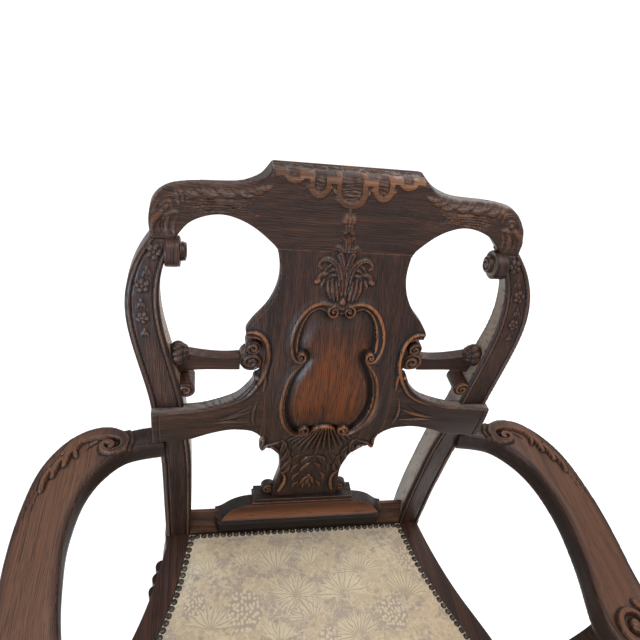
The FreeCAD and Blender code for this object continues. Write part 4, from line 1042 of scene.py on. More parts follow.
def swell(t):
    """0 below 0, 1 above 1, smooth between."""
    t = np.clip(t, 0.0, 1.0)
    return t * t * (3.0 - 2.0 * t)


COVE = closed(outline([(0.46, 0.695), (0.405, 0.686), (0.376, 0.668), (0.367, 0.642),
                       (0.380, 0.614), (0.40, 0.60)]), outline([(0.40, 0.60), (0.52, 0.60)]),
              outline([(0.52, 0.60), (0.52, 0.695)]), outline([(0.52, 0.695), (0.46, 0.695)]))


def splat_ground(x, z, away):
    """Heights before the strokes, in mm.

    Outside the frame a slope swells up to its ridge. Inside, a hollow rim falls from the ridge,
    then the ground drops to a dark channel and rises again to the cushion. The notches' coves lie
    7 mm lower, and the ground of the neck is matted with punch marks.
    """
    depth, beyond = frame_depth(x, z)
    rim = np.interp(z, [700, 745, 800, 832, 845, 872, 905], [3.0, 4.5, 5.5, 3.5, 6.5, 9.0, 7.0])
    slope = np.interp(z, [700, 730, 800, 860, 885, 912], [15, 13, 10, 15, 22, 26])
    near = np.where(depth > 0, 1.0 - swell(depth / rim), 1.0 - swell(beyond / 10.0))
    near = np.where((depth == 0) & (beyond == 0), 0.0, near)
    sunk = swell((depth - rim) / 1.6) * (1.0 - swell((depth - rim - 2.4) / slope))
    hollow = -1.1 * np.sin(np.pi * np.clip(depth / rim, 0.0, 1.0))
    cove = np.zeros(x.shape)
    right = np.abs(x) > 75.0
    held = right & inside(COVE, np.abs(x), z)
    if held.any():
        cove[held] = -7.0 * swell(nearest(COVE, np.abs(x)[held], z[held])[0] / 3.5)
    matted = swell((706.0 - z) / 26.0) * swell((z - 546.0) / 8.0) * np.clip(away / 6.0, 0.0, 1.0)
    return (2.6 * near + hollow - 5.6 * sunk + cove + 0.12 * rough(z, x, 2.0, 30.0, 1.6)
            - matted * (0.6 - 0.34 * rough(z, x, 8.0, 3.4, 1.5)))


def panel_painted_light(x, z):
    """Painted light on the cushion: brighter inside the frame, away from its rim, fading near the
    top.
    """
    depth = frame_depth(x, z)[0]
    fade = np.interp(z, [728, 770, 835, 885], [0.45, 1.0, 0.85, 0.02])
    return swell((depth - 8.0) / 24.0) * fade


def splat_place(x, z, depth):
    """A point of the back at a depth behind the face."""
    return np.stack([x, face_of_back(z) + depth, z], -1)


carved_z = oak("carved_oak_upright", DEEP, MID, RUBBED, ALONG_Z, carved=True)
# The panel's warm colour is painted light, laid where the cushion is painted bright.
panel_z = oak("carved_oak_panel", DEEP, MID, RUBBED, ALONG_Z, carved=True,
              warm=colour(104, 50, 18), grain_band=(0.08, 0.52), pores=0.95)
splat = board("carved_splat", splat_line, 1.2, splat_place, lambda x, z: 14.0, panel_z,
              splat_strokes, splat_ground, rows=2, shine=panel_painted_light,
              contrast=lambda x, z: (1.0 - 0.38 * swell((z - 910.0) / 8.0)
                                     - 0.22 * swell((650.0 - z) / 10.0)),
              flush=[CREST_FOOT, SEAM, JOINT, flipped(SEAM), flipped(JOINT)])
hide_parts("splat")

# %% [markdown]
# ## Stiles and wings
# Each stile is one long board, bowed outwards under the crest and straight below the arm. A bead
# runs down both arrises and small flowers hang on the upper front. The wing of the splat laps over
# it, so the wing leans forward as it runs outwards, and is thin where it lies on the stile.

# %% Stile shape
STILE_MID, STILE_BOW = 196.0, 38.0
CENTRE_KNOTS = np.array([(0.0, 0.0), (0.25, 0.02), (0.35, 0.055), (0.417, 0.13), (0.483, 0.225),
                         (0.55, 0.33), (0.617, 0.565), (0.687, 0.84), (0.75, 1),
                         (0.787, 0.985), (0.82, 0.87), (0.853, 0.645), (0.875, 0.41)])
HALF_KNOTS = np.array([(0.0, 37.5), (0.13, 40.0), (0.7, 40.0), (0.78, 37.0), (0.875, 29.0)])


def share_of(z):
    """Height as a share of the back."""
    return (z - SEAT) / BACK


def stile_middle(z):
    """The stile's middle line in the front view."""
    return STILE_MID + STILE_BOW * through(CENTRE_KNOTS[:, 0], CENTRE_KNOTS[:, 1], share_of(z))


def stile_half(z):
    """Half the stile's width."""
    return 0.5 * through(HALF_KNOTS[:, 0], HALF_KNOTS[:, 1], share_of(z))


def stile_depth(z):
    """How deep the stile is from front to back: 44 mm at the seat, 26 at the crest."""
    return through(DEPTH_KNOTS[:, 0], DEPTH_KNOTS[:, 1], share_of(z))


def stile_place(x, z, depth):
    """A point of the stile. Its foot stands straighter than the centre board does."""
    face = through(np.concatenate([[0.0, 0.13, 0.25, 0.38], BACK_SHARES[4:]]),
                   np.concatenate([[10.0, 10.0, 6.0, 0.0], BACK_PLACES[4:]]), share_of(z))
    return np.stack([x, FABRIC_REAR + face + depth, z], -1)


DEPTH_KNOTS = np.array([(0.0, 44.0), (0.3, 36.96), (0.6, 35.0), (0.75, 27.3), (0.9, 26.0)])
stile_z = SEAT + BACK * np.array([0.0, 0.125, 0.25, 0.35, 0.45, 0.55, 0.617, 0.685, 0.75, 0.787,
                                  0.82, 0.85, 0.875])
outer = list(zip(stile_middle(stile_z) + stile_half(stile_z), stile_z))
inner = list(zip(stile_middle(stile_z) - stile_half(stile_z), stile_z))
stile_line = closed(outer, list(reversed(inner)))
print("stile foot and head", [round(float(v), 1) for v in stile_depth(stile_z[[0, -1]])])

# %% Stile strokes


def flower(x, z, size, tilt=0.0):
    """Five round petals about a seed, with two small leaves beside it."""
    strokes = [dome([(x, z)], 0.30 * size, 3)]
    for k in range(5):
        turn = np.radians(72.0 * k + 90.0 + tilt)
        strokes.append(dome([(x + 0.62 * size * np.cos(turn), z + 0.62 * size * np.sin(turn))],
                            0.40 * size, 2.4))
    return strokes


def bellflower(x, z, size):
    """A husk: three petals that open downwards from a bead."""
    return [dome([(x, z)], 0.26 * size, 1.8)] + [
        ridge([(x, z - 0.2 * size), (x + 0.35 * side * size, z - 0.7 * size),
               (x + 0.62 * side * size, z - 1.35 * size)], [0.14 * size, 0.27 * size, 0.10 * size],
              [1, 1.7, 0.6]) for side in (-1, 0, 1)]


stile_strokes = []
for inset, half, rise in ((4.6, 1.9, 1.3), (35.4, 1.9, 1.3)):
    share = inset / 40.0
    run = [(float(x0 + share * (x1 - x0)), float(z)) for (x0, z), (x1, _) in zip(inner, outer)]
    stile_strokes.append(ridge(run, half, rise))
    toward = 1.0 if inset < 20 else -1.0
    run = [(x + 2.9 * toward, z) for x, z in run]
    stile_strokes.append(gouge(run, 1.2, 1.5))
for z, size in ((962, 8.6), (926, 8.2), (890, 7.2)):
    stile_strokes += flower(one(stile_middle, z) + 0.6, z, size, z)
for z, size in ((946, 7.4), (910, 7), (876, 6.4)):
    stile_strokes += bellflower(one(stile_middle, z) + 0.6, z, size)
print("stile strokes", len(stile_strokes))

# %% Stile boards
dull_z = oak("carved_oak_dull", DEEP, MID, DULL, ALONG_Z, carved=True)
# The stiles' warm colour is a painted sheen on their inner sides.
stile_z_oak = oak("carved_oak_stile", DEEP, MID, colour(102, 68, 50), ALONG_Z, carved=True,
                  warm=colour(138, 116, 98), grain_band=(-0.6, 0.7))


def inner_side_sheen(points):
    """1 on the side of a stile that looks at the centre board, painted pale there as a sheen."""
    return (np.abs(points[:, 0]) < stile_middle(points[:, 2])).astype(float)


for side, way in HANDS:
    turned = stile_line * (way, 1.0)
    stile = board("carved_stile_" + side, turned, 1.25, stile_place, lambda x, z: stile_depth(z),
                  stile_z_oak, handed(stile_strokes, way),
                  lambda x, z, away: 0.07 * rough(z, x, 4.0, 24.0, 1.6),
                  front=(2.4, 2), back=(3, 3), rows=6, worn=0.5, flank=inner_side_sheen)
    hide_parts(side + "_stile")

# %% Wing
WING_TOP = outline([(0.445, 0.603), (0.458, 0.587), (0.485, 0.573), (0.533, 0.555), (0.595, 0.544),
                    (0.661, 0.537), (0.731, 0.532), (0.811, 0.532)])
WING_LOW = outline([(0.775, 0.438), (0.727, 0.445), (0.661, 0.453), (0.604, 0.457), (0.551, 0.458),
                    (0.493, 0.453), (0.454, 0.448), (0.379, 0.422)])
lap = SEAT + 0.485 * BACK
WING_END = one(stile_middle, lap) + one(stile_half, lap) + 1.0
wing_line = closed(WING_TOP, [WING_TOP[-1], (WING_END, WING_TOP[-1][1])],
                   [(WING_END, WING_TOP[-1][1]), (WING_END, WING_LOW[0][1])],
                   [(WING_END, WING_LOW[0][1]), WING_LOW[0]], WING_LOW, JOINT[::-1], SEAM[::-1])
WING_SWEEP, WING_ROOT, WING_THICK = 0.105, 0.379 * HALF, 17.0


def wing_place(x, z, depth):
    """Forward of the back's curve by a share of the distance from the root."""
    return np.stack([x, face_of_back(z) - WING_SWEEP * (np.abs(x) - WING_ROOT) + depth, z], -1)


def wing_thick(x, z):
    """17 mm, but only up to the stile's front where it laps over."""
    over = np.abs(x) > stile_middle(z) - stile_half(z)
    return np.where(over, WING_SWEEP * (np.abs(x) - WING_ROOT) + 0.4, WING_THICK)


wing_strokes = [
    ridge([(92.6, 810), (98.5, 799), (105, 789.5), (114, 782), (127, 775.6), (146, 770.4)],
          [2.5, 2.4, 2.2, 1.9, 1.5, 0.8], [3, 2.6, 2, 1.5, 1, 0.4]),
    gouge([(107, 770), (118, 762), (132, 755.5), (147, 752)], [0.8, 2.2, 1.8, 0.6],
          [0.8, 1.8, 1.4, 0.3]),
    gouge([(104, 749.5), (118, 747.5), (133, 746.4), (150, 746.2)], [0.8, 2, 1.6, 0.6],
          [0.8, 1.8, 1.2, 0.3]),
    gouge([(105, 731), (117, 736), (130, 739.6), (146, 741.4)], [0.8, 2, 1.6, 0.6],
          [0.8, 1.8, 1.2, 0.3]),
    ridge([(103, 760), (118, 755), (134, 750.6), (152, 749)], [1, 2.6, 2, 0.8],
          [0.8, 1.9, 1.4, 0.4]),
    ridge([(103, 740), (118, 742), (134, 743.5), (152, 744)], [1, 2.4, 2, 0.8],
          [0.8, 1.8, 1.4, 0.4]),
    ridge([(95, 778), (98.5, 764), (99, 746), (96, 728)], [1, 2, 2, 1], [0.6, 1.6, 1.6, 0.6]),
    gouge([(217.6, 768), (217.6, 716)], 1.1, 0.9),
]
# The wings' warm colour is painted light on their upward edges.
wing_x = oak("carved_oak_wing", DEEP, MID, DULL, ALONG_X, carved=True, warm=colour(112, 104, 98))


def upper_side_light(points):
    """1 on the edge of a wing that looks up, painted grey there as light falling on it."""
    return 0.75 * (points[:, 2] > 762.0)


for side, way in HANDS:
    wing = board("carved_wing_" + side, wing_line * (way, 1.0), 1.2, wing_place, wing_thick,
                 wing_x, handed(wing_strokes, way),
                 lambda x, z, away: 0.07 * rough(x, z, 6.0, 24.0, 1.6), rows=4, worn=0.5,
                 flank=upper_side_light,
                 flush=[[(way * x, z) for x, z in run] for run in (SEAM, JOINT)])
    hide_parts(side + "_splat_wing")

# %% [markdown]
# ## Turned and carved rolls
# A roll is a short barrel whose end is a volute: a ridge that winds in to an eye. Its surface is a
# profile carried round an axis. The ridge is where the turn round the axis plus the distance from
# it, counted in pitches, is a whole number, which is the rule of an even spiral.

# %% Rings closed at both ends


def ring_faces(count, segments):
    """Triangles of rings stacked in order, closed by two poles that follow the rings' points."""
    k = np.arange(segments)
    after = (k + 1) % segments
    base = (np.arange(count - 1) * segments)[:, None]
    quads = np.stack([base + k, base + after, base + after + segments, base + k + segments], -1)
    quads = quads.reshape(-1, 4)
    last, poles = (count - 1) * segments, count * segments
    return np.concatenate([quads[:, [0, 1, 2]], quads[:, [0, 2, 3]],
                           np.stack([np.full_like(k, poles), after, k], 1),
                           np.stack([np.full_like(k, poles + 1), last + k, last + after], 1)])


print("a ring band of", len(ring_faces(3, 12)), "triangles")

# %% Roll
ROLL_SEGMENTS, FRONT_RINGS, BARREL_RINGS = 112, 26, 14
ROLL_ARRIS, BEAD = 1.2, 0.9


def roll(name, centre, radius, length, material, pitch, rise, way, axis=(0, -1, 0), ribs=0,
         domed=1.6):
    """A closed barrel with a volute on its front end; mm. axis points out of the carved end.

    Profile: from the eye out to the rim at r, back along the barrel, in to the far centre. On the
    front the height is rise x |cos(pi (r / pitch - way x angle / full turn + 1/4))|^0.8, and dies
    at the rim, over a dome of the height domed. ribs are beads round the barrel.
    """
    axis = np.array(axis, float) / np.linalg.norm(axis)
    side = np.cross((0, 0, 1), axis)
    side /= np.linalg.norm(side)
    over = np.cross(axis, side)
    turn = np.linspace(0.0, 2.0 * np.pi, ROLL_SEGMENTS, endpoint=False)
    out = np.linspace(0.0, 1.0, FRONT_RINGS)[1:]
    rim = np.full(ROLL_SEGMENTS, float(radius))
    r_front = out[:, None] * rim
    phase = r_front / pitch - way * turn / (2.0 * np.pi) + 0.25
    wound = np.abs(np.cos(np.pi * phase)) ** 0.8
    lift = (rise * wound * swell((radius - r_front + 0.6) / 2.0) * swell(r_front / 3.0)
            + domed * (1 - out[:, None] ** 2))
    mark = np.clip(2.2 * (wound - 0.62), -1.0, 1.0) * swell((radius - r_front) / 2.0)
    rows_r, rows_h, rows_c = [r_front], [lift], [mark]
    along = np.linspace(0.0, length, BARREL_RINGS)
    beads = BEAD * np.abs(np.sin(np.pi * ribs * along / length)) if ribs else 0.0 * along
    for depth, bead in zip(along, beads):
        left = 1.0 - min(1.0, depth / ROLL_ARRIS)
        inset = ROLL_ARRIS * (1.0 - np.sqrt(max(0.0, 1.0 - left ** 2)))
        inset = max(inset, ROLL_ARRIS * max(0.0, 1.0 - (length - depth) / ROLL_ARRIS))
        rows_r.append((rim - inset + bead - (BEAD if ribs else 0.0))[None])
        rows_h.append(np.full((1, ROLL_SEGMENTS), -depth))
        rows_c.append(np.full((1, ROLL_SEGMENTS), 0.6 * (bead - 0.45) if ribs else 0.1))
    r, h, c = [np.concatenate(rows) for rows in (rows_r, rows_h, rows_c)]
    wave = r[..., None] * (np.cos(turn)[:, None] * side + np.sin(turn)[:, None] * over)
    centre = np.array(centre, float)
    ring = centre + wave + h[..., None] * axis
    eye, far = centre + (rise * 0.8 + domed) * axis, centre - length * axis
    points = np.concatenate([ring.reshape(-1, 3), [eye, far]])
    faces = ring_faces(len(r), ROLL_SEGMENTS)
    marks = np.concatenate([c.reshape(-1), [0.5, 0.0]])
    return mesh_piece(name, points, faces, material, {"carve": marks}, crease=0)


def joined(name, pieces):
    """Several pieces of one node made one object."""
    for piece in bpy.context.selected_objects:
        piece.select_set(False)
    for piece in pieces:
        piece.select_set(True)
    bpy.context.view_layer.objects.active = pieces[0]
    bpy.ops.object.join()
    pieces[0].name = name
    return pieces[0]


print("a roll has", ROLL_SEGMENTS, "segments")

# %% Rolls on the back


def middle_of(node):
    """Centre of a node's box, and its size, in mm."""
    low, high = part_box(node)
    return np.array((low + high) / 2) / MM, np.array(high - low) / MM


# The stile rolls' pale worn colour is partly wear and partly a painted highlight on their ridges.
worn_highlit_z = oak("carved_oak_worn_and_highlit", DEEP, MID, colour(164, 136, 114), ALONG_Z, carved=True)
cove_line = closed([(89, 812), (87.6, 835), (88.6, 852), (94, 862), (103, 868)],
                   [(103, 868), (112, 850), (117, 838)],
                   [(117, 838), (117, 824.5)],
                   [(117, 824.5), (100, 823), (89, 812)])
for side, way in HANDS:
    z_low, z_high = SEAT + 0.632 * BACK, SEAT + 0.669 * BACK
    x = way * 0.465 * HALF
    y = one(face_of_back, SEAT + 0.64 * BACK) + 8.0
    large = roll("notch_low", (x, y + 1.5, z_low), 14.6, 20.0, dull_z, 6.6, 3.4, way, domed=2.4)
    small = roll("notch_high", (x - way * 1.0, y + 0.5, z_high), 9.6, 21.0, dull_z, 5.4, 2.8, -way,
                 domed=2.0)
    cove = board("notch_cove_" + side, cove_line * (way, 1.0), 1.2, splat_place, lambda x, z: 14.0,
                 dull_z, (), lambda x, z, away: -6.5 - 1.5 * swell(away / 5.0))
    piece = joined("notch_volutes_" + side, [large, small, cove])
    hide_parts(side + "_notch_scroll")
    at, size = middle_of(side + "_strut_scroll")
    low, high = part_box(side + "_strut_scroll")
    piece = roll("strut_roll_" + side, (at[0], low[1] / MM + 2.0, at[2]), 0.5 * size[2] - 0.6,
                 size[1] - 2.0, carved_z, 6.0, 1.8, -way, ribs=5)
    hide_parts(side + "_strut_scroll")
    low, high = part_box(side + "_shoe_scroll")
    at, size = middle_of(side + "_shoe_scroll")
    piece = roll("foot_roll_" + side, (at[0], low[1] / MM + 1.6, at[2]), 0.5 * size[2] - 0.4,
                 size[1] - 1.6, dull_z, 5.6, 2.0, way)
    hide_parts(side + "_shoe_scroll")
    low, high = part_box(side + "_stile_scroll")
    at, size = middle_of(side + "_stile_scroll")
    inner_x = (low[0] if way > 0 else high[0]) / MM
    root_x = (high[0] if way > 0 else low[0]) / MM
    height = at[2] + 2.6
    disc = roll("stile_disc", (inner_x + way * 8.0, at[1], height), 18.4,
                abs(root_x - inner_x) - 8.0, worn_highlit_z, 18.0, 2.6, way, (-way, 0, 0), domed=0.4)
    tip = roll("stile_tip", (inner_x + way * 1.6, at[1], height), 11.2, 11.0, worn_highlit_z, 5.4, 2.6, way,
               (-way, 0, 0), domed=0.8)
    piece = joined("stile_roll_" + side, [disc, tip])
    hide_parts(side + "_stile_scroll")
print("rolls on the back", 8)

# %% Knuckles
KNUCKLE_ROWS, KNUCKLE_COLUMNS = 60, 90


def knuckle(name, middle, half, lobes, material):
    """A leafy lump: an ellipsoid about the strut's line whose radius waves round and along it.

    Radius share: 0.78 + 0.13 |sin(lobes x turn / 2 + 1.4 cos(along))|^0.7 sin(along)^0.5
    + 0.10 |sin(3 along)|^0.6, so that the leaves twist and lie in rings along the length.
    """
    along = np.linspace(0.03, np.pi - 0.03, KNUCKLE_ROWS)[:, None]
    turn = np.linspace(0.0, 2.0 * np.pi, KNUCKLE_COLUMNS, endpoint=False) + 0.0 * along
    lobed = np.abs(np.sin(0.5 * lobes * turn + 1.4 * np.cos(along))) ** 0.7
    ring = np.abs(np.sin(3.0 * along)) ** 0.6
    share = 0.78 + 0.13 * lobed * np.sin(along) ** 0.5 + 0.10 * ring
    spots = np.stack([np.cos(along) + 0.0 * turn, np.sin(along) * np.cos(turn),
                      np.sin(along) * np.sin(turn)], -1) * share[..., None]
    spots = spots * half + middle
    ends = np.array([[0.86, 0, 0], [-0.86, 0, 0]]) * half + middle
    mark = np.clip(1.1 * (lobed * ring - 0.60), -1.0, 0.5) * np.sin(along)
    return mesh_piece(name, np.concatenate([spots.reshape(-1, 3), ends]),
                      ring_faces(KNUCKLE_ROWS, KNUCKLE_COLUMNS), material,
                      {"carve": np.concatenate([mark.ravel(), [0.0, 0.0]])}, crease=0)


for side, _ in HANDS:
    at, size = middle_of(side + "_strut_knuckle")
    piece = knuckle("leafy_knuckle_" + side, at, 0.5 * size * (1.7, 1.1, 1.25), 9, dull_z)
    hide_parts(side + "_strut_knuckle")
    print(side, "knuckle", size.round(1))

# %% [markdown]
# ## The arms
# An arm is a broad board sawn to a sweep in plan, so its front view is nearly nothing and its top
# is everything. The same board tool carves it: the two parameters are now x and y, and depth points
# down. A volute winds in where the arm leaves the stile, leaves run along its outer edge, and the
# rest is dished and rubbed warm by sleeves. A second volute turns under the sitter's palm.

# %% Arm plan
ARM_LEVEL, ARM_SPREAD, ARM_LENGTH, ARM_THICK, ARM_FALL = 700.0, 369.0, 320.0, 34.0, 12.0
ARM_SHARE = (ARM_LEVEL - 0.5 * ARM_THICK - SEAT) / BACK
arm_root_z = SEAT + ARM_SHARE * BACK
ARM_ROOT = one(stile_middle, arm_root_z) + one(stile_half, arm_root_z)
ARM_FACE = one(face_of_back, arm_root_z)


def arm_spot(a, b):
    """A plan point from shares of the arm's spread and of its length."""
    return ARM_ROOT + a * (ARM_SPREAD - ARM_ROOT), ARM_FACE - b * ARM_LENGTH


ARM_NECK = [(-0.05, -0.081), (0.124, -0.074), (0.30, -0.052)]
ARM_SWEEP = [(0.30, -0.052), (0.386, -0.070), (0.484, -0.074), (0.582, -0.062), (0.706, -0.027),
             (0.83, 0.041), (0.922, 0.131), (0.98, 0.275), (1, 0.431), (0.987, 0.60),
             (0.972, 0.74), (0.975, 0.86), (0.90, 0.965), (0.735, 1), (0.57, 0.96), (0.50, 0.87),
             (0.53, 0.76), (0.575, 0.66), (0.605, 0.55), (0.62, 0.44), (0.608, 0.353),
             (0.569, 0.25), (0.49, 0.159), (0.399, 0.1), (0.275, 0.05), (0.157, 0.031),
             (-0.05, 0.016)]
arm_line = closed([arm_spot(a, b) for a, b in ARM_NECK], [arm_spot(a, b) for a, b in ARM_SWEEP],
                  [arm_spot(*ARM_SWEEP[-1]), arm_spot(*ARM_NECK[0])])
FALL_Y = np.array([arm_spot(0.0, b)[1] for b in (1.05, 0.5, -0.2)])
FALL_Z = ARM_LEVEL - ARM_FALL * np.array([1.0, 0.35, 0.0])


def arm_place(x, y, depth):
    """A point of the arm below its top, which falls a little towards the hand."""
    return np.stack([x, y, through(FALL_Y, FALL_Z, y) - depth], -1)


print("arm root", round(ARM_ROOT, 1), "mm from the middle")

# %% Arm strokes
R = FABRIC_REAR
coil = [(335, -20), (326, -7), (314, 4), (300, 10), (285, 11), (272.5, 8.5), (264, 2),
        (262, -7), (265.5, -15.5), (273.5, -19.8), (283, -19.4), (289, -14.4), (289.4, -8.4),
        (284.4, -5.0)]
boss = [(284.4, -5), (279.4, -6.6), (277, -10.6), (279.6, -13.4)]
arm_strokes = [
    band([(x, y + R) for x, y in coil],
         [2, 4, 6, 7.2, 8, 8.2, 7.8, 7.2, 6.4, 5.6, 4.9, 4.2, 3.6, 3],
         [0.8, 1.8, 2.4, 2.8, 3, 3.2, 3.2, 3.4, 3.6, 3.8, 4, 4]),
    band([(x, y + R) for x, y in boss], [3.4, 4, 3.8, 3], [4, 4.4, 4.8, 4.8]),
    gouge([(274.6, 0.4 + R), (279, 1.6 + R), (288, 1.2 + R), (297, -2.4 + R), (304, -8 + R),
           (309, -16 + R)], [1.4, 2.4, 3.2, 3.4, 2.8, 1.2], [2.2, 3.2, 3.4, 3, 2.2, 0.8]),
    gouge([(270.8, -5 + R), (271.8, -10.8 + R), (275.4, -13.8 + R)], [1, 1.4, 0.8],
          [2.2, 2.4, 1.6]),
]
for tip, body, heel, wide in (((318.6, -25), (321.6, -15), (317.6, -5), 2.8),
                              ((331, -38), (329.6, -24), (324, -11), 3.6),
                              ((341.4, -54), (340.4, -41), (335.4, -28), 3.4),
                              ((350.4, -74), (349.6, -58), (345.6, -44), 3.0)):
    line = [(x, y + R) for x, y in (heel, body, tip)]
    edge = [(x - 1.15 * wide, y + 1.0 + R) for x, y in (heel, body, tip)]
    rim = [(x + 1.15 * wide, y + 2.0 + R) for x, y in (heel, body, tip)]
    arm_strokes += [band(line, [0.8 * wide, wide, wide, 0.7 * wide], [1.6, 2.4, 2.2, 1.4]),
                    gouge(edge, [0.5, 1.1, 0.6], [0.5, 1.5, 0.5]),
                    gouge(rim, [0.4, 0.8, 0.4], [0.4, 1.2, 0.4])]
for inset, reach in ((4.4, -150), (8.6, -118)):
    arm_strokes.append(gouge([(355 - inset, -58 + R), (362 - inset, -84 + R),
                              (366 - inset, -112 + R), (368 - inset, reach + R)], [0.5, 1, 1, 0.4],
                             [0.5, 1.2, 1, 0.3]))
palm = arm_spot(0.735, 0.885)
grip = spiral(palm[0], palm[1], 27.0, 1.55, 60.0, -1.0, 0.25)
arm_strokes += [band(grip, [3.6, 4.2, 4, 3.2, 2.6], [1.8, 2.8, 3, 2.8, 2.4]),
                dome([palm], 6.2, 3.2)]
print("arm strokes", len(arm_strokes))

# %% Arm boards


def arm_ground(x, y, away):
    """Dished from the rims inwards, deeper in the two volutes, with a lower neck at the stile."""
    x = np.abs(x)
    dish = -2.6 * swell((away - 3.0) / 13.0)
    palm_dip = -1.4 * swell(1.2 - np.hypot(x - palm[0], y - palm[1]) / 26.0)
    neck = -3.4 * swell((253.0 + 0.016 * np.minimum(np.abs(y - R + 1.0), 20.0) ** 2 - x) / 2.6)
    return dish + palm_dip + neck + 0.10 * rough(y, x, 7.0, 26.0, 1.8)


def arm_bare(x, y):
    """Where sleeves have rubbed the top bright: the whole run in front of the volute."""
    x = np.abs(x)
    along = swell((x - 262.0) / 50.0)
    rim = nearest(arm_line, x, y)[0]
    return 0.75 * along * swell((rim - 2.0) / 9.0)


carved_y = oak("carved_oak_arm", DEEP, MID, colour(116, 76, 52), ALONG_Y, carved=True,
               warm=colour(96, 62, 44))
for side, way in HANDS:
    # shade=-0.3 paints shade on the arms' sides, darker than the wood is.
    arm = board("carved_arm_" + side, arm_line * (way, 1.0), 1.3, arm_place, lambda x, y: ARM_THICK,
                carved_y, handed(arm_strokes, way), arm_ground, front=(3.0, 3.0),
                back=(5.0, 5.0), rows=4, shine=arm_bare, worn=0.3, contrast=0.55, shade=-0.3)
    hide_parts(side + "_arm")

# %% [markdown]
# ## The woven cover
# The cover is one cloth, nailed down all round and pushed up by the stuffing. Its crown is a height
# over the distance from the edge. The simulated cloth then swells it a little and settles the pull
# between the nails; a cap keeps each point near its place, and the result is fixed in the mesh.

# %% Seat plan
HEM, SEAT_DEEP, BORDER_TOP, CROWN, RUN = 9.4, 405.0, 451.3, 22.0, 150.0
REAR_HALF, FRONT_HALF = 170.0, 264.0
FLARE = np.array([(-0.1, -0.08), (0.0, 0.0), (0.18, 0.16), (0.33, 0.37), (0.47, 0.617),
                  (0.62, 0.81), (0.80, 0.945), (1, 1), (1.15, 1.01)])
BORDER_LEVEL, PAD_TOP = 449.5, 458.6


def seat_half(y):
    """Half the fabric's width: 170 mm at the rear, 264 at the front, bowed outwards."""
    share = np.clip(-(y - FABRIC_REAR) / SEAT_DEEP, 0.0, 1.0)
    return REAR_HALF + (FRONT_HALF - REAR_HALF) * through(FLARE[:, 0], FLARE[:, 1], share)


def rim_distance(x, y):
    """Distance in from the cut edge of the cloth."""
    rear, front = FABRIC_REAR + HEM, FABRIC_REAR - SEAT_DEEP - HEM
    return np.minimum(seat_half(y) + HEM - np.abs(x), np.minimum(rear - y, y - front))


def crowned(x, y, full=1.0):
    """Height of the cloth: the border, then crown x (1 - (1 - distance / run)^2.4)."""
    share = np.clip((rim_distance(x, y) - HEM) / (RUN - HEM), 0.0, 1.0)
    return BORDER_TOP + full * CROWN * (1.0 - (1.0 - share) ** 2.4)


print("fabric half widths", seat_half(np.array([FABRIC_REAR, FABRIC_REAR - SEAT_DEEP])).round(1))

# %% Cover mesh


def grid_faces(rows, columns, first=0):
    """Quads of a grid of points numbered row by row."""
    spot = first + np.arange(rows * columns).reshape(rows, columns)
    return np.stack([spot[:-1, :-1], spot[1:, :-1], spot[1:, 1:], spot[:-1, 1:]], -1).reshape(-1, 4)


def cover_points(rows, columns, full):
    """Top and bottom of the cover: u from -1 to 1 across, v from the rear to the front."""
    v = np.linspace(0.0, 1.0, rows)[:, None] * np.ones(columns)
    u = np.linspace(-1.0, 1.0, columns) * np.ones((rows, 1))
    y = FABRIC_REAR + HEM - v * (SEAT_DEEP + 2.0 * HEM)
    x = u * (seat_half(y) + HEM)
    over = np.stack([x, y, crowned(x, y, full)], -1)
    lift = swell((rim_distance(x, y) - 24.0) / 8.0)
    under = np.stack([x, y, BORDER_LEVEL + (PAD_TOP - BORDER_LEVEL) * lift], -1)
    over[..., 2] = np.maximum(over[..., 2], under[..., 2] + 0.5)
    return over, under


def border_loop(rows, columns):
    """Numbers of the points round the edge of a grid, in order."""
    spot = np.arange(rows * columns).reshape(rows, columns)
    return np.concatenate([spot[0], spot[1:, -1], spot[-1, -2::-1], spot[-2:0:-1, 0]])


rows, columns = 76, 84
over, under = cover_points(rows, columns, 0.90)
loop = border_loop(rows, columns)
after = np.roll(loop, -1)
total = rows * columns
faces = np.concatenate([grid_faces(rows, columns), grid_faces(rows, columns, total)[:, ::-1],
                        np.stack([loop, after, after + total, loop + total], 1)])
print("cover", len(faces), "quads before subdivision")

# %% Cloth settled by simulation


def settled(piece, held, pressure, cap, steps=20):
    """Swells a piece as cloth with its held points pinned, then fixes it; cap in mm."""
    mesh = piece.data
    start = np.empty(len(mesh.vertices) * 3, np.float32)
    mesh.vertices.foreach_get("co", start)
    pins = piece.vertex_groups.new(name="held")
    pins.add(held.tolist(), 1.0, "REPLACE")
    cloth = piece.modifiers.new("cloth", "CLOTH")
    cloth.settings.quality = 6
    cloth.settings.use_pressure = True
    cloth.settings.uniform_pressure_force = pressure
    cloth.settings.vertex_group_mass = "held"
    cloth.settings.effector_weights.gravity = 0.0
    for step in range(1, steps + 1):
        scene.frame_set(step)
    ready = piece.evaluated_get(bpy.context.evaluated_depsgraph_get()).data
    end = np.empty_like(start)
    ready.vertices.foreach_get("co", end)
    piece.modifiers.remove(cloth)
    scene.frame_set(1)
    move = (end - start).reshape(-1, 3)
    far = np.linalg.norm(move, axis=1, keepdims=True)
    move *= np.minimum(1.0, cap * MM / np.maximum(far, 1e-9))
    mesh.vertices.foreach_set("co", (start.reshape(-1, 3) + move).ravel())
    mesh.update()
    print(piece.name, "moved", round(float(far.max()) / MM, 1), "mm at most, kept to", cap)

# %% [markdown]
# ## The pattern of the cloth
# The weave shows a garden: sprays of long leaves, fans, and round flower heads, in pale straw on
# beige and mauve grey. Such drawing would usually be a picture laid on the cloth. Here each motif
# is a rule in polar coordinates about its root, so it stays sharp, and a repeat carries it on.

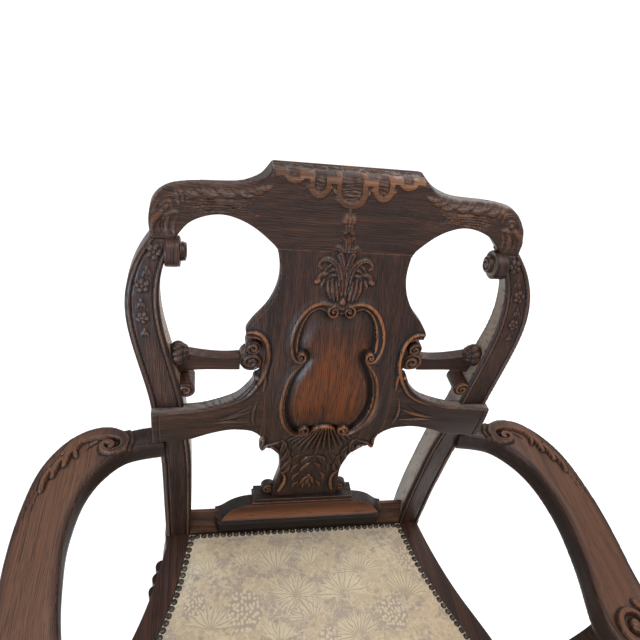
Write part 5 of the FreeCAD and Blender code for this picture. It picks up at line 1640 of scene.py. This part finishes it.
# %% Leaf fan group
fan_group, g, g_in, g_out = new_group(
    "leaf_fan",
    [("Position", "Vector", ORIGIN), ("Root", "Vector", ORIGIN),
     ("Turn", "Float", 0.0), ("Reach", "Float", 0.05), ("Step", "Float", 0.4),
     ("Spread", "Float", 1.0), ("Leaf width", "Float", 0.1)],
    [("Leaf", "Float"), ("Vein", "Float")])
offset = g.add("VectorMath", operation="SUBTRACT", in_0=g_in.outputs[0], in_1=g_in.outputs[1])
turned = g.add("VectorRotate", rotation_type="Z_AXIS", in_Vector=offset, in_Angle=g_in.outputs[2])
parts_xy = g.add("SeparateXYZ", in_0=turned)
u = g.math("DIVIDE", parts_xy.outputs[0], g_in.outputs[3])
v = g.math("DIVIDE", parts_xy.outputs[1], g_in.outputs[3])
reach = g.math("SQRT", g.math("ADD", g.times(u, u), g.times(v, v)))
angle = g.math("ARCTAN2", u, v)
to_axis = g.math("PINGPONG", angle, g.times(g_in.outputs[4], 0.5))
across = g.times(reach, g.math("SINE", to_axis))
along = g.math("SINE", g.times(g.math("MINIMUM", reach, 1.0), float(np.pi)))
half = g.times(g_in.outputs[6], along)
held = g.math("LESS_THAN", g.math("ABSOLUTE", angle), g_in.outputs[5])
blade = g.times(g.ramp(g.less(half, across), 0.0, 0.035), held)
g.plug(blade, g_out.inputs[0])
off_vein = g.less(1.0, g.ramp(across, 0.008, 0.030))
g.plug(g.times(blade, off_vein), g_out.inputs[1])
print("leaf fan group", len(fan_group.nodes), "nodes")

# %% Flower head group
head_group, g, g_in, g_out = new_group(
    "flower_head",
    [("Position", "Vector", ORIGIN), ("Middle", "Vector", ORIGIN),
     ("Radius", "Float", 0.03), ("Petals", "Float", 4.6)],
    [("Petal", "Float"), ("Disc", "Float")])
offset = g.add("VectorMath", operation="SUBTRACT", in_0=g_in.outputs[0], in_1=g_in.outputs[1])
oval = g.add("CombineXYZ", in_0=g_in.outputs[2], in_1=g.times(g_in.outputs[2], 1.25), in_2=1.0)
scaled = g.add("VectorMath", operation="DIVIDE", in_0=offset, in_1=oval)
far = g.add("VectorMath", operation="LENGTH", in_0=scaled).outputs["Value"]
disc = g.less(1.0, g.ramp(far, 0.90, 1.0))
cells = g.add("TexVoronoi", voronoi_dimensions="2D", in_Vector=scaled, in_Scale=g_in.outputs[3],
              in_Randomness=0.7)
g.plug(g.times(disc, g.less(1.0, g.ramp(cells.outputs["Distance"], 0.30, 0.44))), g_out.inputs[0])
g.plug(disc, g_out.inputs[1])
print("flower head group", len(head_group.nodes), "nodes")

# %% Fabric material
FANS = [(-95, -60, 0, 36, 0.42, 1, 0.13), (-46, -70, 0.1, 52, 0.33, 0.85, 0.11),
        (8, -64, -0.1, 38, 0.42, 0.9, 0.13), (-24, -42, 0.2, 20, 0.6, 1.2, 0.17),
        (84, -82, 0, 42, 0.22, 1.65, 0.085), (52, -116, -0.1, 46, 0.36, 1.7, 0.13),
        (-20, -112, 0.2, 42, 0.40, 3, 0.11), (0, -150, -0.2, 40, 0.30, 1.3, 0.10),
        (150, -124, 0.3, 50, 0.20, 1.2, 0.08), (-150, -66, -0.2, 34, 0.36, 1.1, 0.12),
        (104, -34, 1.2, 34, 0.34, 0.7, 0.10), (-148, -150, 0.2, 44, 0.34, 1.4, 0.12),
        (-52, -176, 0.1, 36, 0.42, 1.2, 0.13), (64, -180, -0.3, 44, 0.26, 1.5, 0.09)]
HEADS = [(-98, -128, 27, 4.6), (122, -150, 22, 4.2), (20, -186, 20, 4), (-168, -108, 16, 3.4),
         (168, -60, 18, 3.6)]
BEIGE, MAUVE, STRAW, SHADE = (colour(182, 161, 134), colour(157, 140, 127), colour(207, 190, 158),
                              colour(138, 123, 110))


def tapestry(name):
    """Cloth with motifs repeated every 204 mm along and 380 mm across the seat."""
    material, n, shader, spot = new_finish(name)
    apart = n.add("SeparateXYZ", in_0=spot)
    repeat_x = n.math("WRAP", apart.outputs[0], 0.19, -0.19)
    repeat_y = n.math("WRAP", n.less(apart.outputs[1], FABRIC_REAR * MM), 0.0, -0.204)
    flat = n.add("CombineXYZ", in_0=repeat_x, in_1=repeat_y)
    wobble = n.add("TexNoise", in_Vector=spot, in_Scale=46.0, in_Detail=2.0)
    drawn = n.add("VectorMath", operation="MULTIPLY_ADD", in_0=wobble.outputs["Color"],
                  in_1=(0.010, 0.010, 0.0), in_2=flat)
    shifted = n.add("VectorMath", operation="SUBTRACT", in_0=drawn, in_1=(0.005, 0.005, 0.0))
    fans = [n.add("Group", node_tree=fan_group, in_0=shifted, in_1=(x * MM, y * MM, 0.0), in_2=turn,
                  in_3=size * MM, in_4=step, in_5=spread, in_6=wide)
            for x, y, turn, size, step, spread, wide in FANS]
    heads = [n.add("Group", node_tree=head_group, in_0=shifted, in_1=(x * MM, y * MM, 0.0),
                   in_2=size * MM, in_3=count) for x, y, size, count in HEADS]
    leaves, veins, petals, discs = [
        reduce(partial(n.math, "MAXIMUM"), [motif.outputs[k] for motif in motifs])
        for motifs in (fans, heads) for k in (0, 1)]
    hills = n.add("TexNoise", in_Vector=spot, in_Scale=13.0, in_Detail=2.5)
    clouds = n.add("TexNoise", in_Vector=spot, in_Scale=34.0, in_Detail=4.0, in_Roughness=0.62)
    line = n.math("ABSOLUTE", n.less(clouds, 0.5))
    drawing = n.less(1.0, n.ramp(line, 0.006, 0.030))
    blobs = n.add("TexVoronoi", voronoi_dimensions="2D", in_Vector=drawn, in_Scale=125.0)
    bushes = n.times(n.ramp(hills, 0.52, 0.60),
                     n.less(1.0, n.ramp(blobs.outputs["Distance"], 0.28, 0.46)))
    scribble = n.add("TexNoise", in_Vector=drawn, in_Scale=88.0, in_Detail=3.0, in_Roughness=0.55)
    curl = n.math("ABSOLUTE", n.less(scribble, 0.5))
    tendrils = n.less(1.0, n.ramp(curl, 0.008, 0.034))
    patches = n.ramp(n.add("TexNoise", in_Vector=spot, in_Scale=24.0, in_Detail=3.0), 0.49, 0.54)
    body, dabs = BEIGE, n.ramp(scribble, 0.60, 0.66)
    for mask, strength, paint in ((patches, 0.8, MAUVE), (tendrils, 0.42, STRAW),
                                  (dabs, 0.5, SHADE), (drawing, 0.55, STRAW),
                                  (bushes, 0.5, STRAW), (discs, 0.75, MAUVE),
                                  (leaves, 0.62, STRAW), (petals, 0.8, STRAW),
                                  (veins, 0.6, SHADE)):
        body = n.mix(n.times(mask, strength), body, paint)
    thread = n.add("TexNoise", in_Vector=spot, in_Scale=1400.0, in_Detail=2.0)
    ribs = n.add("TexWave", wave_type="BANDS", bands_direction="Y", in_Vector=spot, in_Scale=240.0,
                 in_Distortion=1.2, in_Detail=1.0)
    weave = n.math("MULTIPLY_ADD", ribs, 0.5, n.times(thread, 0.7))
    body = n.mix(n.times(n.ramp(weave, 0.75, 0.35), 0.22), body, SHADE)
    n.plug(body, shader.inputs["Base Color"])
    n.plug(n.math("MULTIPLY_ADD", thread, 0.12, 0.74), shader.inputs["Roughness"])
    shader.inputs["Sheen Weight"].default_value = 0.12
    shader.inputs["Specular IOR Level"].default_value = 0.25
    raised = n.math("MULTIPLY_ADD", n.math("MAXIMUM", leaves, petals), 0.6, weave)
    n.plug(n.add("Bump", in_Strength=0.45, in_Distance=0.0005, in_Height=raised),
           shader.inputs["Normal"])
    return material


fabric = tapestry("garden_tapestry")
print("fabric nodes", len(fabric.node_tree.nodes))

# %% The cover
points = np.concatenate([over.reshape(-1, 3), under.reshape(-1, 3)])
cover = mesh_piece("woven_cover", points, faces, fabric, crease=0)
edge_rows = rim_distance(points[:, 0], points[:, 1]) < HEM + 1.0
low = np.arange(len(points)) >= total
settled(cover, np.nonzero(edge_rows | low)[0], 4.0, 5.0)
spots = np.empty(len(points) * 3, np.float32)
cover.data.vertices.foreach_get("co", spots)
spots = spots.reshape(-1, 3)
roof = crowned(points[:, 0], points[:, 1]) * MM
spots[:total, 2] = np.clip(spots[:total, 2], points[total:, 2] * MM + 0.0004, roof[:total] + 0.0002)
cover.data.vertices.foreach_set("co", spots.ravel())
finer = cover.modifiers.new("finer", "SUBSURF")
finer.levels = finer.render_levels = 1
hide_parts("seat_cover")
print("cover height", round(float(spots[:total, 2].max()) / MM, 1), "mm")

# %% Nail heads


def bronzed(name):
    """Dark bronzed steel: near black where the coating holds, grey brown where it is rubbed."""
    material, n, shader, spot = new_finish(name)
    patina = n.add("Group", node_tree=patina_group, in_0=spot, in_1=160.0)
    n.plug(n.mix(patina.outputs[0], colour(26, 22, 19), colour(74, 66, 56)),
           shader.inputs["Base Color"])
    n.plug(n.math("MULTIPLY_ADD", patina.outputs[1], 0.2, 0.42), shader.inputs["Roughness"])
    shader.inputs["Metallic"].default_value = 0.55
    return material


bronze = bronzed("bronzed_nail")

# %% [markdown]
# ## Legs
# A front leg is a cabriole: a square post inside the seat frame, a carved knee, a thin ankle and a
# claw that grips a ball. Its surface is a section carried up a curved line. The section at each
# height is a superellipse, |x / a|^p + |y / b|^p = 1, whose power goes from a near square post to a
# round ankle. Height and turn are the two parameters, so carving is again a height field, laid on
# the girth measured from the outer corner and on the height.

# %% Leg surface
LEG_TURNS = 180
RAIL_BOTTOM, POST_HALF = 385.0, 27.0


def leg(name, knots, post, way, corner, strokes=(), talons=0.0, ball=(0.0, 1.0)):
    """A leg from the floor to the seat; mm.

    knots rows are height, middle x, middle y, half x, half y, power. post is middle x, middle y,
    half x and half y of the square top. corner is the outer corner's angle in degrees. Talons are
    four ridges over the ball: height x cosine bell in the turn, with a knuckle every third.
    """
    knots = np.array(knots)
    z = np.concatenate([np.linspace(0.0, RAIL_BOTTOM, 170),
                        np.linspace(RAIL_BOTTOM + 0.4, SEAT - 1.5, 14), [SEAT - 0.4, SEAT]])
    rows = [through(knots[:, 0], knots[:, k], z) for k in range(1, 6)]
    above = z > RAIL_BOTTOM
    for row, value in zip(rows, (*post, 16.0)):
        row[above] = value
    mid_x, mid_y, half_x, half_y, power = [row[:, None] for row in rows]
    inset = np.interp(z, [SEAT - 1.5, SEAT - 0.4, SEAT], [0.0, 0.4, 1.4])[:, None]
    turn = np.linspace(0.0, 2.0 * np.pi, LEG_TURNS, endpoint=False) * np.ones((len(z), 1))
    radius = ((np.abs(np.cos(turn)) / half_x) ** power
              + (np.abs(np.sin(turn)) / half_y) ** power) ** (-1.0 / power) - inset
    from_corner = (turn - np.radians(corner) + np.pi) % (2.0 * np.pi) - np.pi
    girth = from_corner * 0.5 * (half_x + half_y) * 1.12
    height = carve(np.zeros(turn.shape), girth, z[:, None] * np.ones(turn.shape), strokes)
    height *= (z[:, None] < RAIL_BOTTOM)
    mark = np.clip((height - blurred(height, 2)) / 0.9, -1.0, 1.0)
    if talons:
        low, high = ball
        up = np.clip((z[:, None] - low) / (high - low), 0.0, 1.0)
        bell = np.abs(np.cos(2.0 * from_corner)) ** 7.0
        joints = 1.0 + 0.35 * np.cos(2.0 * np.pi * 3.0 * up)
        grip = talons * bell * joints * np.sin(np.pi * np.clip(up * 1.04 + 0.02, 0.0, 1.0)) ** 0.45
        height = height + grip * (up > 0) * (up < 1)
        mark = mark + np.clip(grip / talons - 0.45, -0.4, 0.7) * (up > 0) * (up < 1)
    radius = radius + height
    points = np.stack([mid_x + radius * np.cos(turn), mid_y + radius * np.sin(turn),
                       z[:, None] * np.ones(turn.shape)], -1).reshape(-1, 3)
    poles = np.array([[rows[0][0], rows[1][0], 0.0], [rows[0][-1], rows[1][-1], SEAT]])
    points = np.concatenate([points, poles]) * (way, 1.0, 1.0)
    piece = mesh_piece(name, points, ring_faces(len(z), LEG_TURNS), carved_z,
                       {"carve": np.concatenate([mark.ravel(), [0.0, 0.0]])}, crease=50.0)
    print(name, len(piece.data.polygons), "triangles")
    return piece

# %% Knee carving
KNEE = [ridge([(0, 380), (0, 345), (0, 305), (0, 262), (0, 240)], [2.6, 3.6, 3, 2.2, 0.8],
              [2.2, 2.8, 2.4, 1.8, 0.6])]
for k in range(6):
    top, reach = 374.0 - 20.0 * k, 25.0 - 2.6 * k
    KNEE += twin([
        ridge([(2.5, top - 26), (0.45 * reach, top - 13), (0.85 * reach, top - 4),
               (reach, top + 5)], [1.2, 3.4, 3.2, 1.2], [1.4, 2.8, 2.4, 0.8]),
        gouge([(3.5, top - 19), (0.5 * reach, top - 7), (0.9 * reach, top + 2)], [0.8, 1.4, 0.7],
              [1, 1.5, 0.6])])
KNEE += twin([ridge(spiral(22, 368, 8.5, 1.3, 200, 1), [2, 1.8, 1.4], [2.2, 2.2, 1.8])])
HUSK = [ridge([(0, 236), (0, 222), (0, 204)], [1.6, 2.8, 0.8], [1.2, 2, 0.6])]
HUSK += twin([ridge([(1, 236), (5, 226), (7.4, 212)], [1, 2.2, 0.8], [1, 1.6, 0.5])])
REAR_KNEE = [ridge([(0, 372), (0, 345), (0, 318)], [1.6, 2.6, 0.8], [1.2, 2, 0.6])]
REAR_KNEE += twin([ridge([(1.5, 352), (8, 364), (15, 372)], [1, 2.4, 1], [1, 1.8, 0.6]),
                   ridge([(1.5, 334), (7, 345), (13, 352)], [1, 2.2, 1], [0.9, 1.6, 0.6])])
print("knee strokes", len(KNEE + HUSK), len(REAR_KNEE))

# %% Front and rear legs
CLOTH_GAP, RAIL_TOP = 0.9, 32.5
BESIDE = HEM + CLOTH_GAP + RAIL_TOP
FRONT_Y = FABRIC_REAR - SEAT_DEEP - BESIDE + POST_HALF
FRONT_X = one(seat_half, FRONT_Y) + BESIDE - POST_HALF
low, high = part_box("right_front_leg")
print("front post", round(FRONT_X, 1), round(FRONT_Y, 1), "box",
      [round(v / MM, 1) for v in (*low, *high)])
front_rows = []
for z, out, half, power in (
        (0, 0.4, 9.5, 2), (2, 0.4, 13.5, 2), (5, 0.4, 17.6, 2), (10, 0.4, 22, 2),
        (18, 0.4, 26, 2), (28, 0.4, 27.6, 2), (38, 0.4, 26, 2),
        (45.0, 0.3, 22.6, 2.0),
        (51, 0.1, 18.6, 2), (57, -0.3, 16, 2.1), (69, -0.9, 14.6, 2.3),
        (119, -1.2, 14.8, 2.6), (177, -0.95, 17.1, 2.8), (239, -0.2, 21, 3),
        (293, 0.65, 26.2, 3.2), (335, 1, 29.6, 3.4), (368, 0.5, 28.8, 4.2),
        (385.0, 0.0, 27.0, 9.0)):
    front_rows.append((z, FRONT_X + 7.0 * out, FRONT_Y - 7.0 * out, half, half, power))
REAR_X, REAR_Y = 196.0, FABRIC_REAR + 11.0 + 23.0
rear_rows = [(0.0, REAR_X + 3, REAR_Y + 52.0, 22.0, 22.0, 2.0),
             (3.0, REAR_X + 3, REAR_Y + 52.0, 25.4, 25.4, 2.0),
             (7.0, REAR_X + 3, REAR_Y + 52.0, 26.4, 26.4, 2.0),
             (12.0, REAR_X + 3, REAR_Y + 52.0, 22.0, 22.0, 2.0),
             (18.0, REAR_X + 3, REAR_Y + 51.6, 16.8, 17.2, 2.1)]
for share, out, kick, size, power in (
        (0.12, 3, 0.97, 0.72, 2.6), (0.28, 1, 0.76, 0.68, 2.8), (0.48, 0, 0.48, 0.74, 3),
        (0.68, 3, 0.22, 0.90, 3.4), (0.84, 5, 0.08, 1.10, 4), (0.93, 3, 0.02, 1.12, 5),
        (1.0, 0.0, 0.0, 1.0, 9.0)):
    rear_rows.append((RAIL_BOTTOM * share, REAR_X + out, REAR_Y + 52.0 * kick, 21.0 * size,
                      23.0 * size, power))
for side, way in HANDS:
    piece = leg("cabriole_leg_" + side, front_rows, (FRONT_X, FRONT_Y, POST_HALF, POST_HALF), way,
                -45.0, KNEE + HUSK, 3.6, (1.0, 66.0))
    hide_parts(side + "_front_leg")
    piece = leg("kicked_leg_" + side, rear_rows, (REAR_X, REAR_Y, 21.0, 23.0), way, -45.0,
                REAR_KNEE)
    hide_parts(side + "_rear_leg")

# %% Plain materials for what the cover hides
beech = oak("raw_beech", colour(120, 92, 62), colour(170, 136, 98), colour(188, 156, 116), ALONG_Y,
            gloss=0.62, pores=0.2)


def woven(name, light, shade, pitch, lift=0.0004):
    """A plain weave: two sets of ridges at right angles, over and under."""
    material, n, shader, spot = new_finish(name)
    lines = [n.add("TexWave", wave_type="BANDS", bands_direction=axis, in_Vector=spot,
                   in_Scale=1.0 / pitch, in_Distortion=0.4, in_Detail=1.0) for axis in ("X", "Y")]
    weave = n.math("MAXIMUM", lines[0], lines[1])
    fluff = n.add("TexNoise", in_Vector=spot, in_Scale=900.0, in_Detail=3.0)
    share = n.math("MULTIPLY_ADD", weave, 0.7, n.times(fluff, 0.4), clamp=True)
    n.plug(n.mix(share, shade, light), shader.inputs["Base Color"])
    n.plug(n.math("MULTIPLY_ADD", fluff, 0.1, 0.82), shader.inputs["Roughness"])
    n.plug(n.add("Bump", in_Strength=0.6, in_Distance=lift, in_Height=weave),
           shader.inputs["Normal"])
    return material


jute = woven("jute_webbing", colour(176, 146, 104), colour(98, 76, 48), 0.012)
hessian = woven("hessian_cloth", colour(168, 142, 104), colour(92, 72, 46), 0.009)
wadding = woven("cotton_wadding", colour(226, 220, 206), colour(180, 172, 156), 0.016)
print("hidden materials", 4)

# %% Finish the plain nodes
# The rear rail is painted lighter than the other oak, as painted light on it.
lit_oak_x = oak("oak_across_painted_light", colour(28, 18, 14), colour(112, 76, 56), colour(166, 104, 62),
               ALONG_X)
# The mouldings take painted light on their slopes that lean back and painted shade below 479 mm.
moulded_x = oak("moulded_oak", colour(14, 10, 8), colour(56, 40, 34), colour(146, 86, 52), ALONG_X,
                lit_slope_heights=(0.479, 0.4824))
FINISHES = [("nail", bronze), ("seat_cover.", fabric), ("seat_webbing.", jute),
            ("seat_hessian.", hessian), ("stuffing_pad.", wadding), ("corner_block", beech),
            ("shoe_plinth.", moulded_x), ("shoe_block.", moulded_x), ("rear_seat_rail.", lit_oak_x),
            ("side_seat_rail", oak_y), ("arm.", oak_y), ("side_ear", oak_y)]
FINISHES += [(word, oak_x) for word in ("seat_rail", "crest", "strut", "shoe", "front_ear",
                                        "back_ear", "stile_scroll")]


def node_finish(name):
    """The finish of the first word that is in a node's name with a full stop, or upright oak."""
    return next((finish for word, finish in FINISHES if word in name + "."), oak_z)


for name, node in nodes.items():
    node.data.materials.clear()
    node.data.materials.append(node_finish(name))
print("finished nodes", len(nodes))
